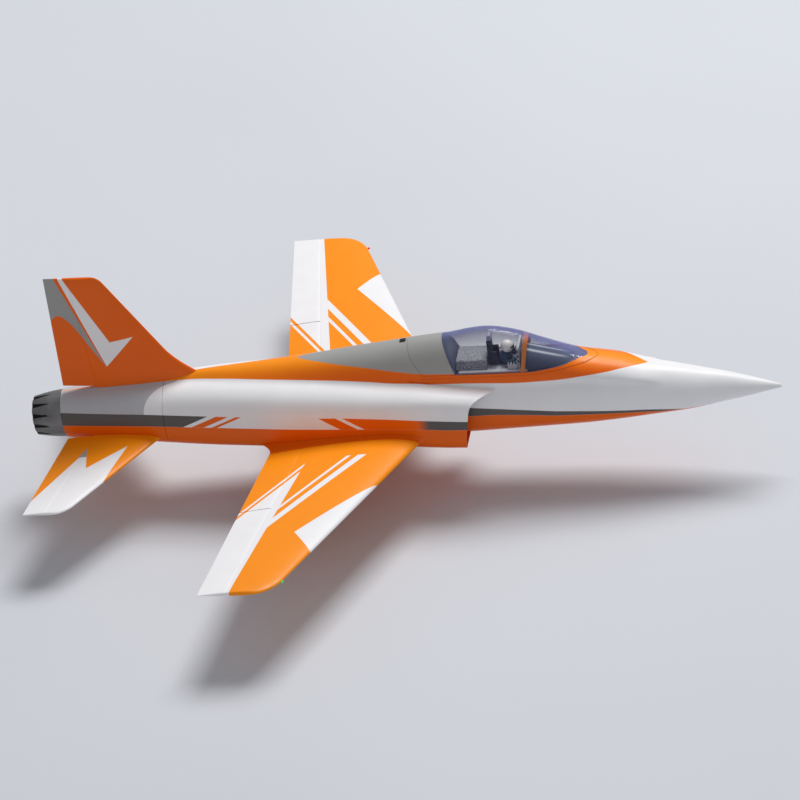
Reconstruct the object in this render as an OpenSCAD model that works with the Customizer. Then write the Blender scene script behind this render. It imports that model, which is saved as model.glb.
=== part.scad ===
// Electric ducted fan sport jet with retractable landing gear, shown gear up.
// Frame: +X towards the nose, +Y to port, +Z up. The origin is on the ground
// under the middle of the length, with the flat of the belly on the ground.

/* [Fuselage] */
// Nose tip to the joint behind the cockpit hatch
nose_l = 750; // [700:2:800]
// Joint behind the hatch to the root of the nozzle
aft_l = 734; // [690:2:780]
// Nose tip to the seam in front of the hatch
nose_cone_l = 400; // [395:1:410]
// Root of the nozzle to the front of the tail section
tail_l = 218; // [206:2:230]
// Half width of the cockpit section
core_half_w = 67; // [62:0.5:70]
// Height of the cockpit section's own top above the thrust line
core_top_h = 76; // [74:0.5:79]
// Half width over the intakes
body_half_w = 105; // [100:0.5:110]
// Height of the shoulders above the thrust line
shoulder_h = 82; // [78:0.5:86]
// Depth of the flat belly below the thrust line
belly_h = 65; // [63:0.5:68]
// How much the belly is cut flat
belly_flat = 1; // [0.5:0.1:1.5]
// Height above the thrust line at which the spine and canopy are widest
spine_z = 75; // [73:0.5:77]
// Half width of the spine and canopy
spine_half_w = 50; // [48:0.5:52]
// Height of the canopy above its widest line
canopy_h = 93; // [88:0.5:98]
// Radius of the tail where the nozzle starts
tail_r = 50; // [49:0.25:53]
// Wall of the moulded shells
wall = 4; // [3:0.25:5]

/* [Intakes] */
// Lip of the intake in front of the joint behind the hatch, at its outer top corner
lip_fore = 127; // [112:1:138]
// How far the lip sweeps forward for each millimetre inward
lip_sweep = 1.04; // [0.9:0.02:1.1]
// How far the lip leans forward for each millimetre upward
lip_rake = 0.17; // [0.1:0.01:0.25]
// Height of the intake's top above the thrust line at the lip
lip_top_h = 54; // [51:0.5:57]
// Wall of the intake
lip_wall = 3; // [2.5:0.1:3.5]

/* [Hatch and canopy] */
// Height of the hatch seam above the thrust line
hatch_z = 82; // [80:0.5:84]
// Rise of the seam for each millimetre forward of where it starts to rise
hatch_rise = 0.12; // [0.1:0.005:0.14]
// Where the seam starts to rise, in front of the canopy bow
rise_fore = 12; // [12:1:22]
// Height of the painted rail under the glass
rail_h = 6; // [5:0.25:7]
// Length of the deck behind the glass, along its lower edge
deck_l = 97; // [88:1:110]
// How far the rear edge of the glass leans back for each millimetre upward
glass_lean = 0.35; // [0.3:0.01:0.4]
// Thickness of the glass
glass_t = 1.2; // [1:0.1:1.6]
// Middle of the canopy bow to the lower rear edge of the glass
bow_fore = 141; // [130:1:148]
// Width of the canopy bow
bow_w = 12; // [8:0.5:14]

/* [Wing] */
// Wing span
wing_span = 1300; // [1240:5:1360]
// Leading edge at the wing root, in front of the joint behind the hatch
wing_fore = 15; // [0:1:30]
// Width of the fixed root fairing outside the body
fairing_w = 13; // [11:0.5:16]
// Chord at the wing root
wing_root_c = 310; // [295:1:325]
// Chord at the tip, before the corner is rounded
wing_tip_c = 147; // [135:1:160]
// How far the leading edge runs back from root to tip
wing_back = 224; // [200:2:250]
// Thickness at the root
wing_root_t = 34; // [33:0.5:37]
// Thickness at the tip
wing_tip_t = 14; // [12:0.5:17]
// Leading edge at the root, below the thrust line
wing_drop = 30; // [28:0.5:32]
// Trailing edge at the root, below the leading edge
wing_twist = 12; // [10:0.5:14]
// Rise of the leading edge from root to tip
wing_rise = 16; // [12:0.5:20]
// Rise of the trailing edge from root to tip
wing_te_rise = 27; // [24:0.5:30]
// Chord of the flap at the root
flap_c = 67; // [60:0.5:72]
// Chord of the aileron at the tip
aileron_c = 55; // [48:0.5:60]
// Centre line to the break between flap and aileron
flap_end = 343; // [338:1:380]
// Length of the rounded corner of the wing tip
tip_corner_l = 44; // [38:1:52]
// How far the corner takes the leading edge back
tip_corner_back = 35; // [30:1:40]

/* [Tail surfaces] */
// Span of the tailplane
stab_span = 622; // [590:2:660]
// Leading edge at the tailplane root, in front of the root of the nozzle
stab_fore = 203; // [196:1:205]
// Chord at the tailplane root
stab_root_c = 197; // [188:1:205]
// Chord at the tailplane tip
stab_tip_c = 85; // [76:1:94]
// How far the tailplane's leading edge runs back
stab_back = 161; // [145:1:175]
// Thickness at the tailplane root
stab_root_t = 18; // [17.5:0.25:20]
// Thickness at the tailplane tip
stab_tip_t = 9; // [8:0.25:10]
// Tailplane root below the thrust line
stab_drop = 30; // [28:0.5:33]
// Droop of the tailplane tip
stab_droop = 10; // [6:0.5:12]
// Chord of the elevator at its root
elevator_c = 52; // [46:0.5:56]
// Chord of the elevator at the tip
elevator_tip_c = 45; // [40:0.5:48]
// Centre line to the root of the elevator
elevator_y = 53; // [52.5:0.25:58]
// Top of the fin above the thrust line
fin_h = 327; // [310:1:345]
// Trailing edge of the fin, in front of the root of the nozzle
fin_fore = 3; // [-2:1:10]
// Chord of the fin at the tip
fin_tip_c = 112; // [100:1:120]
// How far the fin's leading edge runs back for each millimetre upward
fin_sweep = 0.633; // [0.58:0.005:0.68]
// Thickness of the fin at the root
fin_root_t = 22; // [21:0.25:24]
// Thickness of the fin at the tip
fin_tip_t = 10; // [9:0.25:11]
// Chord of the rudder at the bottom
rudder_c = 69; // [62:0.5:74]
// Chord of the rudder at the top
rudder_tip_c = 47; // [42:0.5:50]
// Bottom of the rudder above the thrust line
rudder_z = 67; // [66:0.25:70]

/* [Hinges and clearances] */
// Radius of the hinge rods
rod_r = 1; // [0.8:0.05:1.2]
// Gap round the nose of a control surface
surface_gap = 0.6; // [0.5:0.05:0.8]
// Extra room where a piece meets the flat facets of a curved skin
facet_room = 0.4; // [0.3:0.05:0.6]
// Gap between flap and aileron
break_gap = 2.6; // [2.4:0.1:3.5]
// Gap between fixed pieces that meet
seam = 0.3; // [0.2:0.05:0.5]
// Radial clearance of a pin or shaft that turns
running = 0.05; // [0.02:0.01:0.08]

/* [Fan unit] */
// Bore of the fan housing
fan_bore_r = 45.2; // [44:0.1:46]
// Wall of the fan housing
fan_wall = 2; // [1.6:0.1:2.4]
// Joint behind the hatch to the front of the fan housing
fan_back = 260; // [250:1:270]
// Length of the fan housing
fan_l = 66; // [62:1:72]
// Radius of the fan's hub
fan_hub_r = 20; // [19:0.25:22]
// Number of blades
fan_blades = 9; // [6:1:11]
// Number of stator vanes
fan_vanes = 5; // [4:1:7]
// Radius of the motor
motor_r = 17; // [15:0.25:18]
// Radius of the motor shaft
shaft_r = 2.5; // [2:0.1:3]
// Inner radius of the thrust tube at its rear end
tube_end_r = 41; // [40:0.25:42]
// Length of the nozzle
nozzle_l = 63; // [56:0.5:70]
// Bore of the nozzle
nozzle_bore_r = 38; // [36:0.25:39]
// Outer radius of the nozzle at its exit
nozzle_exit_r = 40.5; // [40:0.1:42]
// Downward cant of the nozzle, degrees
nozzle_cant = 4; // [2:0.5:6]

/* [Landing gear] */
// Seam in front of the hatch to the nose leg's pivot
nose_pivot_back = 30; // [28:0.25:36]
// Pivot of the nose leg below the thrust line
nose_pivot_drop = 38; // [37:0.25:39]
// Nose leg from pivot to axle
nose_leg_l = 118; // [112:0.5:124]
// Rise of the stowed nose leg towards its axle, degrees
nose_leg_tilt = 7; // [6:0.25:9]
// Radius of the nose wheel
nose_wheel_r = 29; // [26:0.25:29.5]
// Centre line to the main leg's pivot
main_pivot_y = 258; // [254:0.5:262]
// Joint behind the hatch to the line of the main legs
main_back = 135; // [130:1:142]
// Main leg from pivot to axle
main_leg_l = 105; // [102:0.5:107]
// Radius of a main wheel
main_wheel_r = 29; // [27:0.25:29.5]
// Width of a tyre
tyre_w = 16; // [14:0.25:17]
// Radius of a leg
leg_r = 4; // [3.5:0.1:4.5]
// Radius of axles and leg pivots
axle_r = 2; // [1.6:0.05:2.4]
// Room round a stowed wheel
well_gap = 4; // [3.5:0.25:5]

/* [Equipment] */
// Length of the flight battery
battery_l = 155; // [140:1:160]
// Width of the flight battery
battery_w = 50; // [44:1:54]
// Height of the flight battery
battery_h = 48; // [42:1:52]
// Top of the battery tray above the thrust line
tray_z = 13; // [12:0.5:16]
// Radius of the wing joiner tube
spar_r = 5; // [4:0.1:5.5]
// Half length of the wing joiner tube
spar_half_l = 200; // [170:1:205]

/* [Hidden] */
$fn = 48;

// Stations behind the nose tip
tail_s = nose_l + aft_l;
lip_s = nose_l - lip_fore;
glass_rear_s = nose_l - deck_l;
bow_s = glass_rear_s - bow_fore;
hatch_rise_s = bow_s - rise_fore;
wing_s = nose_l - wing_fore;
stab_s = tail_s - stab_fore;
fin_te_s = tail_s - fin_fore;
fan_s = nose_l + fan_back;
nose_pivot_s = nose_cone_l + nose_pivot_back;
main_s = nose_l + main_back;

// Nose tip, so that the middle of the length is at x = 0
nose_x = (tail_s + nozzle_l * cos(nozzle_cant) + nozzle_exit_r * sin(nozzle_cant)) / 2;
function x_at(s) = nose_x - s;
function s_at(x) = nose_x - x;
function lerp(a, b, u) = a + (b - a) * u;
function flatten(rows) = [for (row = rows) each row];

// Cockpit section: station, half width, top and bottom, in percent of its own sizes, and squareness
core_rows = [for (r = [[0, 4, 6.5, 1.5, 2], [3.5, 15, 18, 9, 2], [9, 30, 34, 22.5, 2],
    [15, 43, 50, 35, 2], [20, 54.5, 60.5, 46, 2], [25.5, 66, 72, 55, 2.05], [31, 75, 83, 60, 2.1],
    [37, 82, 88, 67, 2.1], [42, 88, 93.5, 72, 2.15], [47.5, 92.5, 96.5, 77, 2.2],
    [53.5, 95.5, 98.5, 83, 2.2], [64, 98.5, 100, 87, 2.3], [75, 100, 100, 92, 2.4],
    [85, 100, 100, 98, 2.4], [100, 100, 100, 98, 2.4]])
    [r[0] * nose_l / 100, r[1] * core_half_w / 100, r[2] * core_top_h / 100, r[3] * belly_h / 100, r[4]]];

// Intake and main body: station, half width, top, bottom and squareness
belly_round = belly_h + belly_flat;
body_rows = concat(
    [[lip_s - 53, body_half_w, lip_top_h, belly_round, 4],
     [lip_s + 42, body_half_w, lerp(lip_top_h, shoulder_h, 0.36), belly_round, 4]],
    [for (r = [[0, 100, 69, 100, 3.8], [16, 94.5, 90.5, 100, 3.4], [34, 80, 100, 100, 3.2],
        [48, 62, 100, 100, 3], [60, 45.5, 90.5, 94, 2.8], [74, 27, 69, 75, 2.4],
        [88, 12, 40, 44, 2.2], [100, 0, 6, 0, 2]])
        [nose_l + r[0] * aft_l / 100, lerp(tail_r, body_half_w, r[1] / 100),
         lerp(tail_r, shoulder_h, r[2] / 100), lerp(tail_r, belly_round, r[3] / 100), r[4]]]);

// Canopy and spine: station, centre height, half width and height, in percent
spine_rows = [for (r = concat(
    [for (f = [[31, 53, 72, 19.5], [37, 64, 84, 23.5], [42, 74.5, 92, 29], [47.5, 82.5, 96, 32],
        [53.5, 90.5, 96, 35.5], [58.5, 96, 96, 47.5], [64, 100, 98, 64.5], [69.5, 100, 98, 85],
        [75, 100, 100, 97], [79, 100, 100, 100], [83.5, 100, 100, 96], [88.5, 100, 100, 88],
        [94, 100, 100, 83], [100, 100, 100, 76.5]]) [f[0] * nose_l / 100, f[1], f[2], f[3]]],
    [for (f = [[5.5, 100, 98, 70], [11.5, 100, 96, 63.5], [20, 93.5, 92, 59], [25, 90.5, 88, 55],
        [30, 88, 84, 53], [37, 85.5, 76, 48], [48, 80, 62, 43], [60, 74.5, 40, 38],
        [74, 58.5, 28, 30], [88, 40, 20, 32], [100, 26.5, 16, 30]])
        [nose_l + f[0] * aft_l / 100, f[1], f[2], f[3]]]))
    [r[0], r[1] * spine_z / 100, r[2] * spine_half_w / 100, r[3] * canopy_h / 100]];

// Smooth curve through one column of a table of stations
function row_slope(t, i, c) =
    let (a = max(i - 1, 0), b = min(i + 1, len(t) - 1))
    (t[b][c] - t[a][c]) / (t[b][0] - t[a][0]);
function row_below(t, s, i = 0) = (i >= len(t) - 2 || s < t[i + 1][0]) ? i : row_below(t, s, i + 1);
function at_station(t, s, c) =
    let (i = row_below(t, s), h = t[i + 1][0] - t[i][0])
    let (u = min(max((s - t[i][0]) / h, 0), 1), v = 1 - u)
    t[i][c] * (1 + 2 * u) * v * v + h * row_slope(t, i, c) * u * v * v
    + t[i + 1][c] * u * u * (3 - 2 * u) - h * row_slope(t, i + 1, c) * u * u * v;

// Radius of a section about the thrust line: a rounded box, with the spine or canopy blended on
blend = 12;
function box_r(th, w, h, n) = pow(pow(abs(cos(th)) / w, n) + pow(abs(sin(th)) / h, n), -1 / n);
function lobe_r(th, zc, ws, hs) =
    let (a = pow(cos(th) / ws, 2) + pow(sin(th) / hs, 2), b = -2 * sin(th) * zc / (hs * hs))
    let (d = b * b - 4 * a * (zc * zc / (hs * hs) - 1))
    (sin(th) <= 0 || d <= 0) ? 0 : max(0, (-b + sqrt(d)) / (2 * a));
function skin_r(t, s, th) =
    let (h = at_station(t, s, sin(th) >= 0 ? 2 : 3))
    let (base = box_r(th, at_station(t, s, 1), h, at_station(t, s, 4)))
    let (cut = sin(th) < 0 ? min(base, belly_h / -sin(th)) : base)
    let (lobe = s < spine_rows[0][0] ? 0 : lobe_r(th, at_station(spine_rows, s, 1),
        at_station(spine_rows, s, 2), at_station(spine_rows, s, 3)))
    lobe <= 0 ? cut : pow(pow(cut, blend) + pow(lobe, blend), 1 / blend);
function skin_pt(t, s, th, inset = 0) =
    let (r = skin_r(t, s, th) - inset)
    [x_at(s), r * cos(th), r * sin(th)];
function skin_ring(t, s, angles, inset = 0) = [for (th = angles) skin_pt(t, s, th, inset)];
function spread(a, b, n) = [for (k = [0:n]) lerp(a, b, k / n)];
round_angles = [for (k = [0:47]) k * 7.5];

// Angle at which a section reaches height z, or half width y, found by halving
function angle_at_z(t, s, z, inset = 0, lo = 0, hi = 90, n = 18) =
    n == 0 ? lo : let (m = (lo + hi) / 2)
    (skin_r(t, s, m) - inset) * sin(m) < z ? angle_at_z(t, s, z, inset, m, hi, n - 1)
        : angle_at_z(t, s, z, inset, lo, m, n - 1);
function angle_at_y(t, s, y, lo = 0, hi = 90, n = 18) =
    n == 0 ? lo : let (m = (lo + hi) / 2)
    skin_r(t, s, m) * cos(m) > y ? angle_at_y(t, s, y, m, hi, n - 1) : angle_at_y(t, s, y, lo, m, n - 1);
function roof_z(s, y) = let (th = angle_at_y(body_rows, s, y)) skin_r(body_rows, s, th) * sin(th);
function side_y(s, z) =
    let (h = at_station(body_rows, s, z >= 0 ? 2 : 3), n = at_station(body_rows, s, 4))
    at_station(body_rows, s, 1) * pow(max(0, 1 - pow(abs(z) / h, n)), 1 / n);

// Where a piece that stands off the main body starts, beside it or above it
function beside_body(x, z) = side_y(s_at(x), z) + seam + facet_room;
function above_body(x, y) = roof_z(s_at(x), abs(y)) + seam + facet_room;

// Height of the hatch seam
function seam_z(s) = hatch_z + hatch_rise * max(0, hatch_rise_s - s);

// Everything is drawn about the thrust line and then lifted onto the ground
module on_ground() { translate([0, 0, belly_h]) children(); }
module along_x(x) { translate([x, 0, 0]) rotate([0, 90, 0]) children(); }
module starboard() { mirror([0, 1, 0]) children(); }

function quad(a, b, c, d) = [[a, b, c], [a, c, d]];

// Shell between matching outer and inner rings that run aft; a tip closes its front
module shell(outer, inner, closed = true, tip = false) {
    m = len(outer);
    n = len(outer[0]);
    base = m * n;
    spans = closed ? n : n - 1;
    function o(i, j) = i * n + j % n;
    function q(i, j) = base + i * n + j % n;
    skin = [for (i = [0:m - 2], j = [0:spans - 1])
        each quad(o(i, j), o(i, j + 1), o(i + 1, j + 1), o(i + 1, j))];
    lining = [for (i = [0:m - 2], j = [0:spans - 1])
        each quad(q(i, j), q(i + 1, j), q(i + 1, j + 1), q(i, j + 1))];
    front = tip ? [[for (j = [n - 1:-1:0]) o(0, j)], [for (j = [0:n - 1]) q(0, j)]]
        : [for (j = [0:spans - 1]) each quad(o(0, j), q(0, j), q(0, j + 1), o(0, j + 1))];
    rear = [for (j = [0:spans - 1]) each quad(o(m - 1, j), o(m - 1, j + 1), q(m - 1, j + 1), q(m - 1, j))];
    sides = closed ? [] : [for (i = [0:m - 2]) each concat(
        quad(o(i, 0), o(i + 1, 0), q(i + 1, 0), q(i, 0)),
        quad(o(i, n - 1), q(i, n - 1), q(i + 1, n - 1), o(i + 1, n - 1)))];
    polyhedron(concat(flatten(outer), flatten(inner)), concat(skin, lining, front, rear, sides),
        convexity = 8);
}

// Solid through rings that wind about the direction in which they are stacked. Where the first ring
// follows a skin, its end is closed on both sides of a ridge that runs back from the point numbered le.
module solid(rings, le = 0, ridge = []) {
    m = len(rings);
    n = len(rings[0]);
    k = len(ridge);
    function p(i, j) = i * n + j % n;
    function mid(i) = m * n + i - 1;
    sides = [for (i = [0:m - 2], j = [0:n - 1])
        each quad(p(i, j), p(i + 1, j), p(i + 1, j + 1), p(i, j + 1))];
    first = k == 0 ? [[for (j = [0:n - 1]) j]]
        : concat([[le - 1, le, mid(1)], [mid(1), le, le + 1]],
            [for (i = [1:k - 1]) each concat(quad(le - 1 - i, le - i, mid(i), mid(i + 1)),
                quad(mid(i + 1), mid(i), le + i, le + 1 + i))],
            [for (j = [le + k:n + le - k - 1]) [mid(k), j % n, (j + 1) % n]]);
    last = [[for (j = [n - 1:-1:0]) p(m - 1, j)]];
    polyhedron(concat(flatten(rings), ridge), concat(sides, first, last), convexity = 8);
}

// Shell of one skin over a list of stations
module skin_shell(t, stations, angles, thick, closed = true) {
    shell([for (s = stations) skin_ring(t, s, angles)],
        [for (s = stations) skin_ring(t, s, angles, thick)], closed);
}

// Nose cone, hollow behind its tip
nose_stations = [for (u = [0, 0.03, 0.065, 0.11, 0.17, 0.24, 0.31, 0.4, 0.5, 0.6, 0.7, 0.8, 0.9, 1])
    u * (nose_cone_l - seam / 2)];
module nose_cone() {
    hollow_from = 26;
    color("white") on_ground() shell(
        [for (s = nose_stations) skin_ring(core_rows, s, round_angles)],
        [for (s = nose_stations) skin_ring(core_rows, max(s, hollow_from + s / 10), round_angles,
            min(wall, at_station(core_rows, max(s, hollow_from), 3) * 0.5))], tip = true);
}

// Stowed nose wheel, and the well and slot it leaves through
nose_axle_s = nose_pivot_s + nose_leg_l * cos(nose_leg_tilt);
nose_axle_x = x_at(nose_axle_s);
nose_well_half_w = 23;
nose_slot_half_w = 15;
nose_slot_front = 20;
nose_slot_x = x_at(nose_pivot_s - nose_slot_front);

// Cockpit section, open at the top for the hatch, with the nose wheel well cut through the belly
module front_fuselage() {
    stations = concat([for (u = [0, 0.2, 0.45, 0.8]) lerp(nose_cone_l + seam / 2, hatch_rise_s, u)],
        [for (u = [0, 0.1, 0.25, 0.45, 0.65, 0.85, 1]) lerp(hatch_rise_s, nose_l - seam / 2, u)]);
    function rim(s) = min(88, angle_at_z(core_rows, s, seam_z(s) - seam / 2));
    function arc(s) = spread(-180 - rim(s), rim(s), 40);
    color("white") on_ground() difference() {
        shell([for (s = stations) skin_ring(core_rows, s, arc(s))],
            [for (s = stations) skin_ring(core_rows, s, arc(s), wall)], closed = false);
        translate([nose_axle_x - nose_wheel_r - well_gap, -nose_well_half_w, -2 * belly_h])
            cube([2 * (nose_wheel_r + well_gap), 2 * nose_well_half_w, 2 * belly_h]);
        translate([nose_axle_x, -nose_slot_half_w, -2 * belly_h])
            cube([nose_slot_x - nose_axle_x, 2 * nose_slot_half_w, 2 * belly_h]);
    }
}

// Main body with the shoulders and the spine
module main_fuselage() {
    stations = spread(nose_l + seam / 2, tail_s - tail_l - seam / 2, 12);
    color("darkorange") on_ground() difference() {
        skin_shell(body_rows, stations, round_angles, wall);
        spar_hole();
    }
}

// Tail section, ending square to the canted nozzle
tail_z = (at_station(body_rows, tail_s, 2) - tail_r) / 2;
module tail_fuselage() {
    stations = spread(tail_s - tail_l + seam / 2, tail_s - 12, 12);
    function end_pt(th, inset) =
        let (p = skin_pt(body_rows, tail_s, th, inset))
        [p[0] - tan(nozzle_cant) * (p[2] - tail_z) + seam, p[1], p[2]];
    function rings(inset) = concat([for (s = stations) skin_ring(body_rows, s, round_angles, inset)],
        [[for (th = round_angles) end_pt(th, inset)]]);
    color("silver") on_ground() shell(rings(0), rings(wall));
}

// Intake with its lip, swept at the top and square below; the cockpit section closes its inner side
lip_x = x_at(lip_s);
lip_square_h = 40;
function lip_plane_s(p) =
    let (swept = min(1, max(0, p[2] + belly_h) / lip_square_h))
    s_at(lip_x + swept * lip_sweep * (body_half_w - abs(p[1])) + lip_rake * (p[2] - lip_top_h));
function lip_room(s, th) =
    skin_r(body_rows, s, th) - lip_wall - seam - facet_room - skin_r(core_rows, s, th);
function lip_edge(s, lo, hi, n = 16) =
    n == 0 ? lo : let (m = (lo + hi) / 2)
    lip_room(s, m) > 0 ? lip_edge(s, m, hi, n - 1) : lip_edge(s, lo, m, n - 1);
module intake_lip() {
    shape_s = lip_s - 40;
    rear_top = lip_edge(nose_l, 5, 80);
    top = min(lip_edge(shape_s, 5, 80), rear_top) - 0.5;
    lip_angles = spread(lip_edge(shape_s, -20, -80), top, 22);
    lip_stations = [for (th = lip_angles) lip_plane_s(skin_pt(body_rows, shape_s, th))];
    function angles(u) =
        spread(lip_edge(lerp(lip_stations[0], nose_l, u), -20, -80), lerp(top, rear_top, u), 22);
    function ring(u, inset) =
        let (a = angles(u))
        [for (k = [0:22]) skin_pt(body_rows, lerp(lip_stations[k], nose_l - seam / 2, u), a[k], inset)];
    steps = [0, 0.15, 0.3, 0.35, 0.4, 0.5, 0.7, 1];
    shell([for (u = steps) ring(u, 0)], [for (u = steps) ring(u, lip_wall)], closed = false);
}
module intake_lip_left() { color("white") on_ground() intake_lip(); }
module intake_lip_right() { color("white") on_ground() starboard() intake_lip(); }

// Aerofoil: half thickness at a share u of the chord
te_half = 0.7;
function foil(u, t) = 5 * t * (0.2969 * sqrt(u) - 0.126 * u - 0.3516 * u * u + 0.2843 * pow(u, 3)
    - 0.1036 * pow(u, 4)) + te_half * u;
function foil_pt(f, u, side) = lerp(f[0], f[1], u) + [0, side * foil(u, f[2])];
function chord_share(f, x) = (f[0][0] - x) / (f[0][0] - f[1][0]);
function nose_r(f) = foil(chord_share(f, f[3][0]), f[2]);

// A surface's section is [leading edge, trailing edge, thickness, hinge]. The fixed part ends in a
// hollow round the hinge; the moving part has a round nose on it.
function fixed_section(f) =
    let (r = nose_r(f) + surface_gap, k = 9, most = asin(nose_r(f) / r) - 3)
    let (lip_up = min(most, 65), lip_low = min(most, 45))
    let (up = chord_share(f, f[3][0] + r * cos(lip_up)), low = chord_share(f, f[3][0] + r * cos(lip_low)))
    concat([for (i = [k:-1:0]) foil_pt(f, up * (1 - cos(90 * i / k)), 1)],
        [for (i = [1:k]) foil_pt(f, low * (1 - cos(90 * i / k)), -1)],
        [for (a = spread(-lip_low, lip_up, 6)) f[3] + r * [cos(a), sin(a)]]);
function moving_section(f) =
    concat([f[1] + [0, te_half]], [for (a = spread(90, -90, 10)) f[3] + nose_r(f) * [cos(a), sin(a)]],
        [f[1] - [0, te_half]]);
function rounded(y, end, l) = let (u = min(1, max(0, (y - end + l) / l))) 1 - sqrt(1 - u * u);
function lay_flat(points, y) = [for (p = points) [p[0], y, p[1]]];

// Wing section at a distance y from the centre line
wing_root_y = body_half_w + fairing_w;
wing_tip_y = wing_span / 2;
wing_x = x_at(wing_s);
function wing_foil(y) =
    let (u = (y - wing_root_y) / (wing_tip_y - wing_root_y), bend = rounded(y, wing_tip_y, tip_corner_l))
    let (te = [wing_x - wing_root_c - u * (wing_back + wing_tip_c - wing_root_c),
        -wing_drop - wing_twist + u * wing_te_rise])
    [[wing_x - u * wing_back - bend * tip_corner_back, -wing_drop + u * wing_rise], te,
     lerp(wing_root_t, wing_tip_t, u) * (1 - bend / 2), wing_hinge(y)];
function wing_hinge(y) =
    let (u = (y - wing_root_y) / (wing_tip_y - wing_root_y))
    lerp([wing_x - wing_root_c + flap_c, -wing_drop - wing_twist * (1 - flap_c / wing_root_c)],
        [wing_x - wing_back - wing_tip_c + aileron_c,
         lerp(-wing_drop - wing_twist + wing_te_rise, -wing_drop + wing_rise, aileron_c / wing_tip_c)], u);
tip_stations = [for (u = [0, 0.5, 0.8, 0.94, 1]) wing_tip_y - tip_corner_l * (1 - u)];
wing_stations = concat([wing_root_y, lerp(wing_root_y, flap_end, 0.5), flap_end,
    lerp(flap_end, wing_tip_y - tip_corner_l, 0.5)], tip_stations);

// Hinge rod between two points of a hinge line, longer by the given amounts at its ends
module rod(a, b, r) {
    d = b - a;
    translate(a) rotate([0, acos(d[2] / norm(d)), atan2(d[1], d[0])]) cylinder(r = r, h = norm(d));
}
function wing_axis(y) = let (h = wing_hinge(y)) [h[0], y, h[1]];
rod_grip = 8;
module wing_rod(r) { rod(wing_axis(wing_root_y - rod_grip), wing_axis(wing_tip_y - tip_corner_l), r); }

// Wing joiner and the holes it sits in
spar_x = wing_x - 0.32 * wing_root_c;
spar_z = -wing_drop - 7;
module spar_hole() {
    translate([spar_x, 0, spar_z]) rotate([90, 0, 0])
        cylinder(r = spar_r + running, h = 2 * (spar_half_l + 5), center = true);
}
module wing_spar() {
    color("dimgray") on_ground() translate([spar_x, 0, spar_z]) rotate([90, 0, 0])
        cylinder(r = spar_r, h = 2 * spar_half_l, center = true);
}

// Fixed wing root: follows the body on the inside and meets the wing on the outside
fairing_grow = 12;
module wing_fairing() {
    outer = wing_foil(wing_root_y);
    inner = [outer[0] + [fairing_grow, 0], outer[1] - [2 * fairing_grow, 0],
        outer[2] + fairing_grow / 3, outer[3]];
    function ring(u) =
        let (top = foil_pt(inner, u, 1), low = foil_pt(inner, u, -1))
        concat([for (side = [1, -1]) let (p = foil_pt(outer, u, side)) [p[0], wing_root_y - seam, p[1]]],
            [for (z = spread(low[1], top[1], 6)) [top[0], beside_body(top[0], z), z]]);
    difference() {
        solid([for (a = spread(4, 90, 11)) ring(1 - cos(a))]);
        spar_hole();
        wing_rod(rod_r + running);
    }
}
module wing_fairing_left() { color("darkorange") on_ground() wing_fairing(); }
module wing_fairing_right() { color("darkorange") on_ground() starboard() wing_fairing(); }

// Places of the servos: middle of the pocket mouth, and how it is turned
servo_size = [23, 22.5, 12];
servo_gap = 0.4;
aileron_servo_y = 430;
flap_servo_y = 312;
function under_wing(x, y) = let (f = wing_foil(y)) foil_pt(f, chord_share(f, x), -1)[1];
module servo_pocket() {
    mouth = 20;
    translate([0, 0, -mouth]) linear_extrude(mouth + servo_size[2] + servo_gap)
        square([servo_size[0] + 2 * servo_gap, servo_size[1] + 2 * servo_gap], center = true);
}
module wing_servo_at(y) {
    x = wing_hinge(y)[0] + 45;
    translate([x, y, under_wing(x - servo_size[0] / 2, y) + 1.5]) rotate([3, -2, 0]) children();
}

// Stowed main wheel and leg
main_x = x_at(main_s);
function main_mid_z(y) = let (f = wing_foil(y)) lerp(f[0][1], f[1][1], chord_share(f, main_x));
main_pivot = [main_x, main_pivot_y, main_mid_z(main_pivot_y) - 3];
main_axle = [main_x, main_pivot_y - main_leg_l, main_mid_z(main_pivot_y - main_leg_l) - 2];
fork_t = 2.5;
fork_gap = 0.8;
fork_half = tyre_w / 2 + fork_gap + fork_t;
slot_half = 11;
retract_size = [44, 34, 18];
module main_well() {
    down = 60;
    translate(main_axle + [0, 0, -down]) cylinder(r = main_wheel_r + well_gap, h = down + fork_half + 1);
    translate([main_x - slot_half, main_axle[1], main_axle[2] - down])
        cube([2 * slot_half, main_leg_l + 12, down + fork_half + 1 + (main_pivot[2] - main_axle[2]) / 2]);
    translate([main_x - retract_size[0] / 2 - 1, main_pivot_y - 13, main_pivot[2] - down])
        cube([retract_size[0] + 2, retract_size[1] + 2, down + retract_size[2] / 2 + 1]);
}
module wing() {
    difference() {
        solid([for (y = wing_stations) lay_flat(fixed_section(wing_foil(y)), y)]);
        spar_hole();
        main_well();
        for (y = [flap_servo_y, aileron_servo_y])
            wing_servo_at(y) servo_pocket();
    }
}
module wing_left() { color("white") on_ground() wing(); }
module wing_right() { color("white") on_ground() starboard() wing(); }

module wing_surface(stations) {
    difference() {
        solid([for (y = stations) lay_flat(moving_section(wing_foil(y)), y)]);
        wing_rod(rod_r + running);
    }
}
module flap() {
    wing_surface([wing_root_y + surface_gap, lerp(wing_root_y, flap_end, 0.5), flap_end - break_gap / 2]);
}
module aileron() {
    inner = [flap_end + break_gap / 2, lerp(flap_end, wing_tip_y - tip_corner_l, 0.5)];
    wing_surface(concat(inner, tip_stations));
}
module flap_left() { color("white") on_ground() flap(); }
module flap_right() { color("white") on_ground() starboard() flap(); }
module aileron_left() { color("white") on_ground() aileron(); }
module aileron_right() { color("white") on_ground() starboard() aileron(); }

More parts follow.
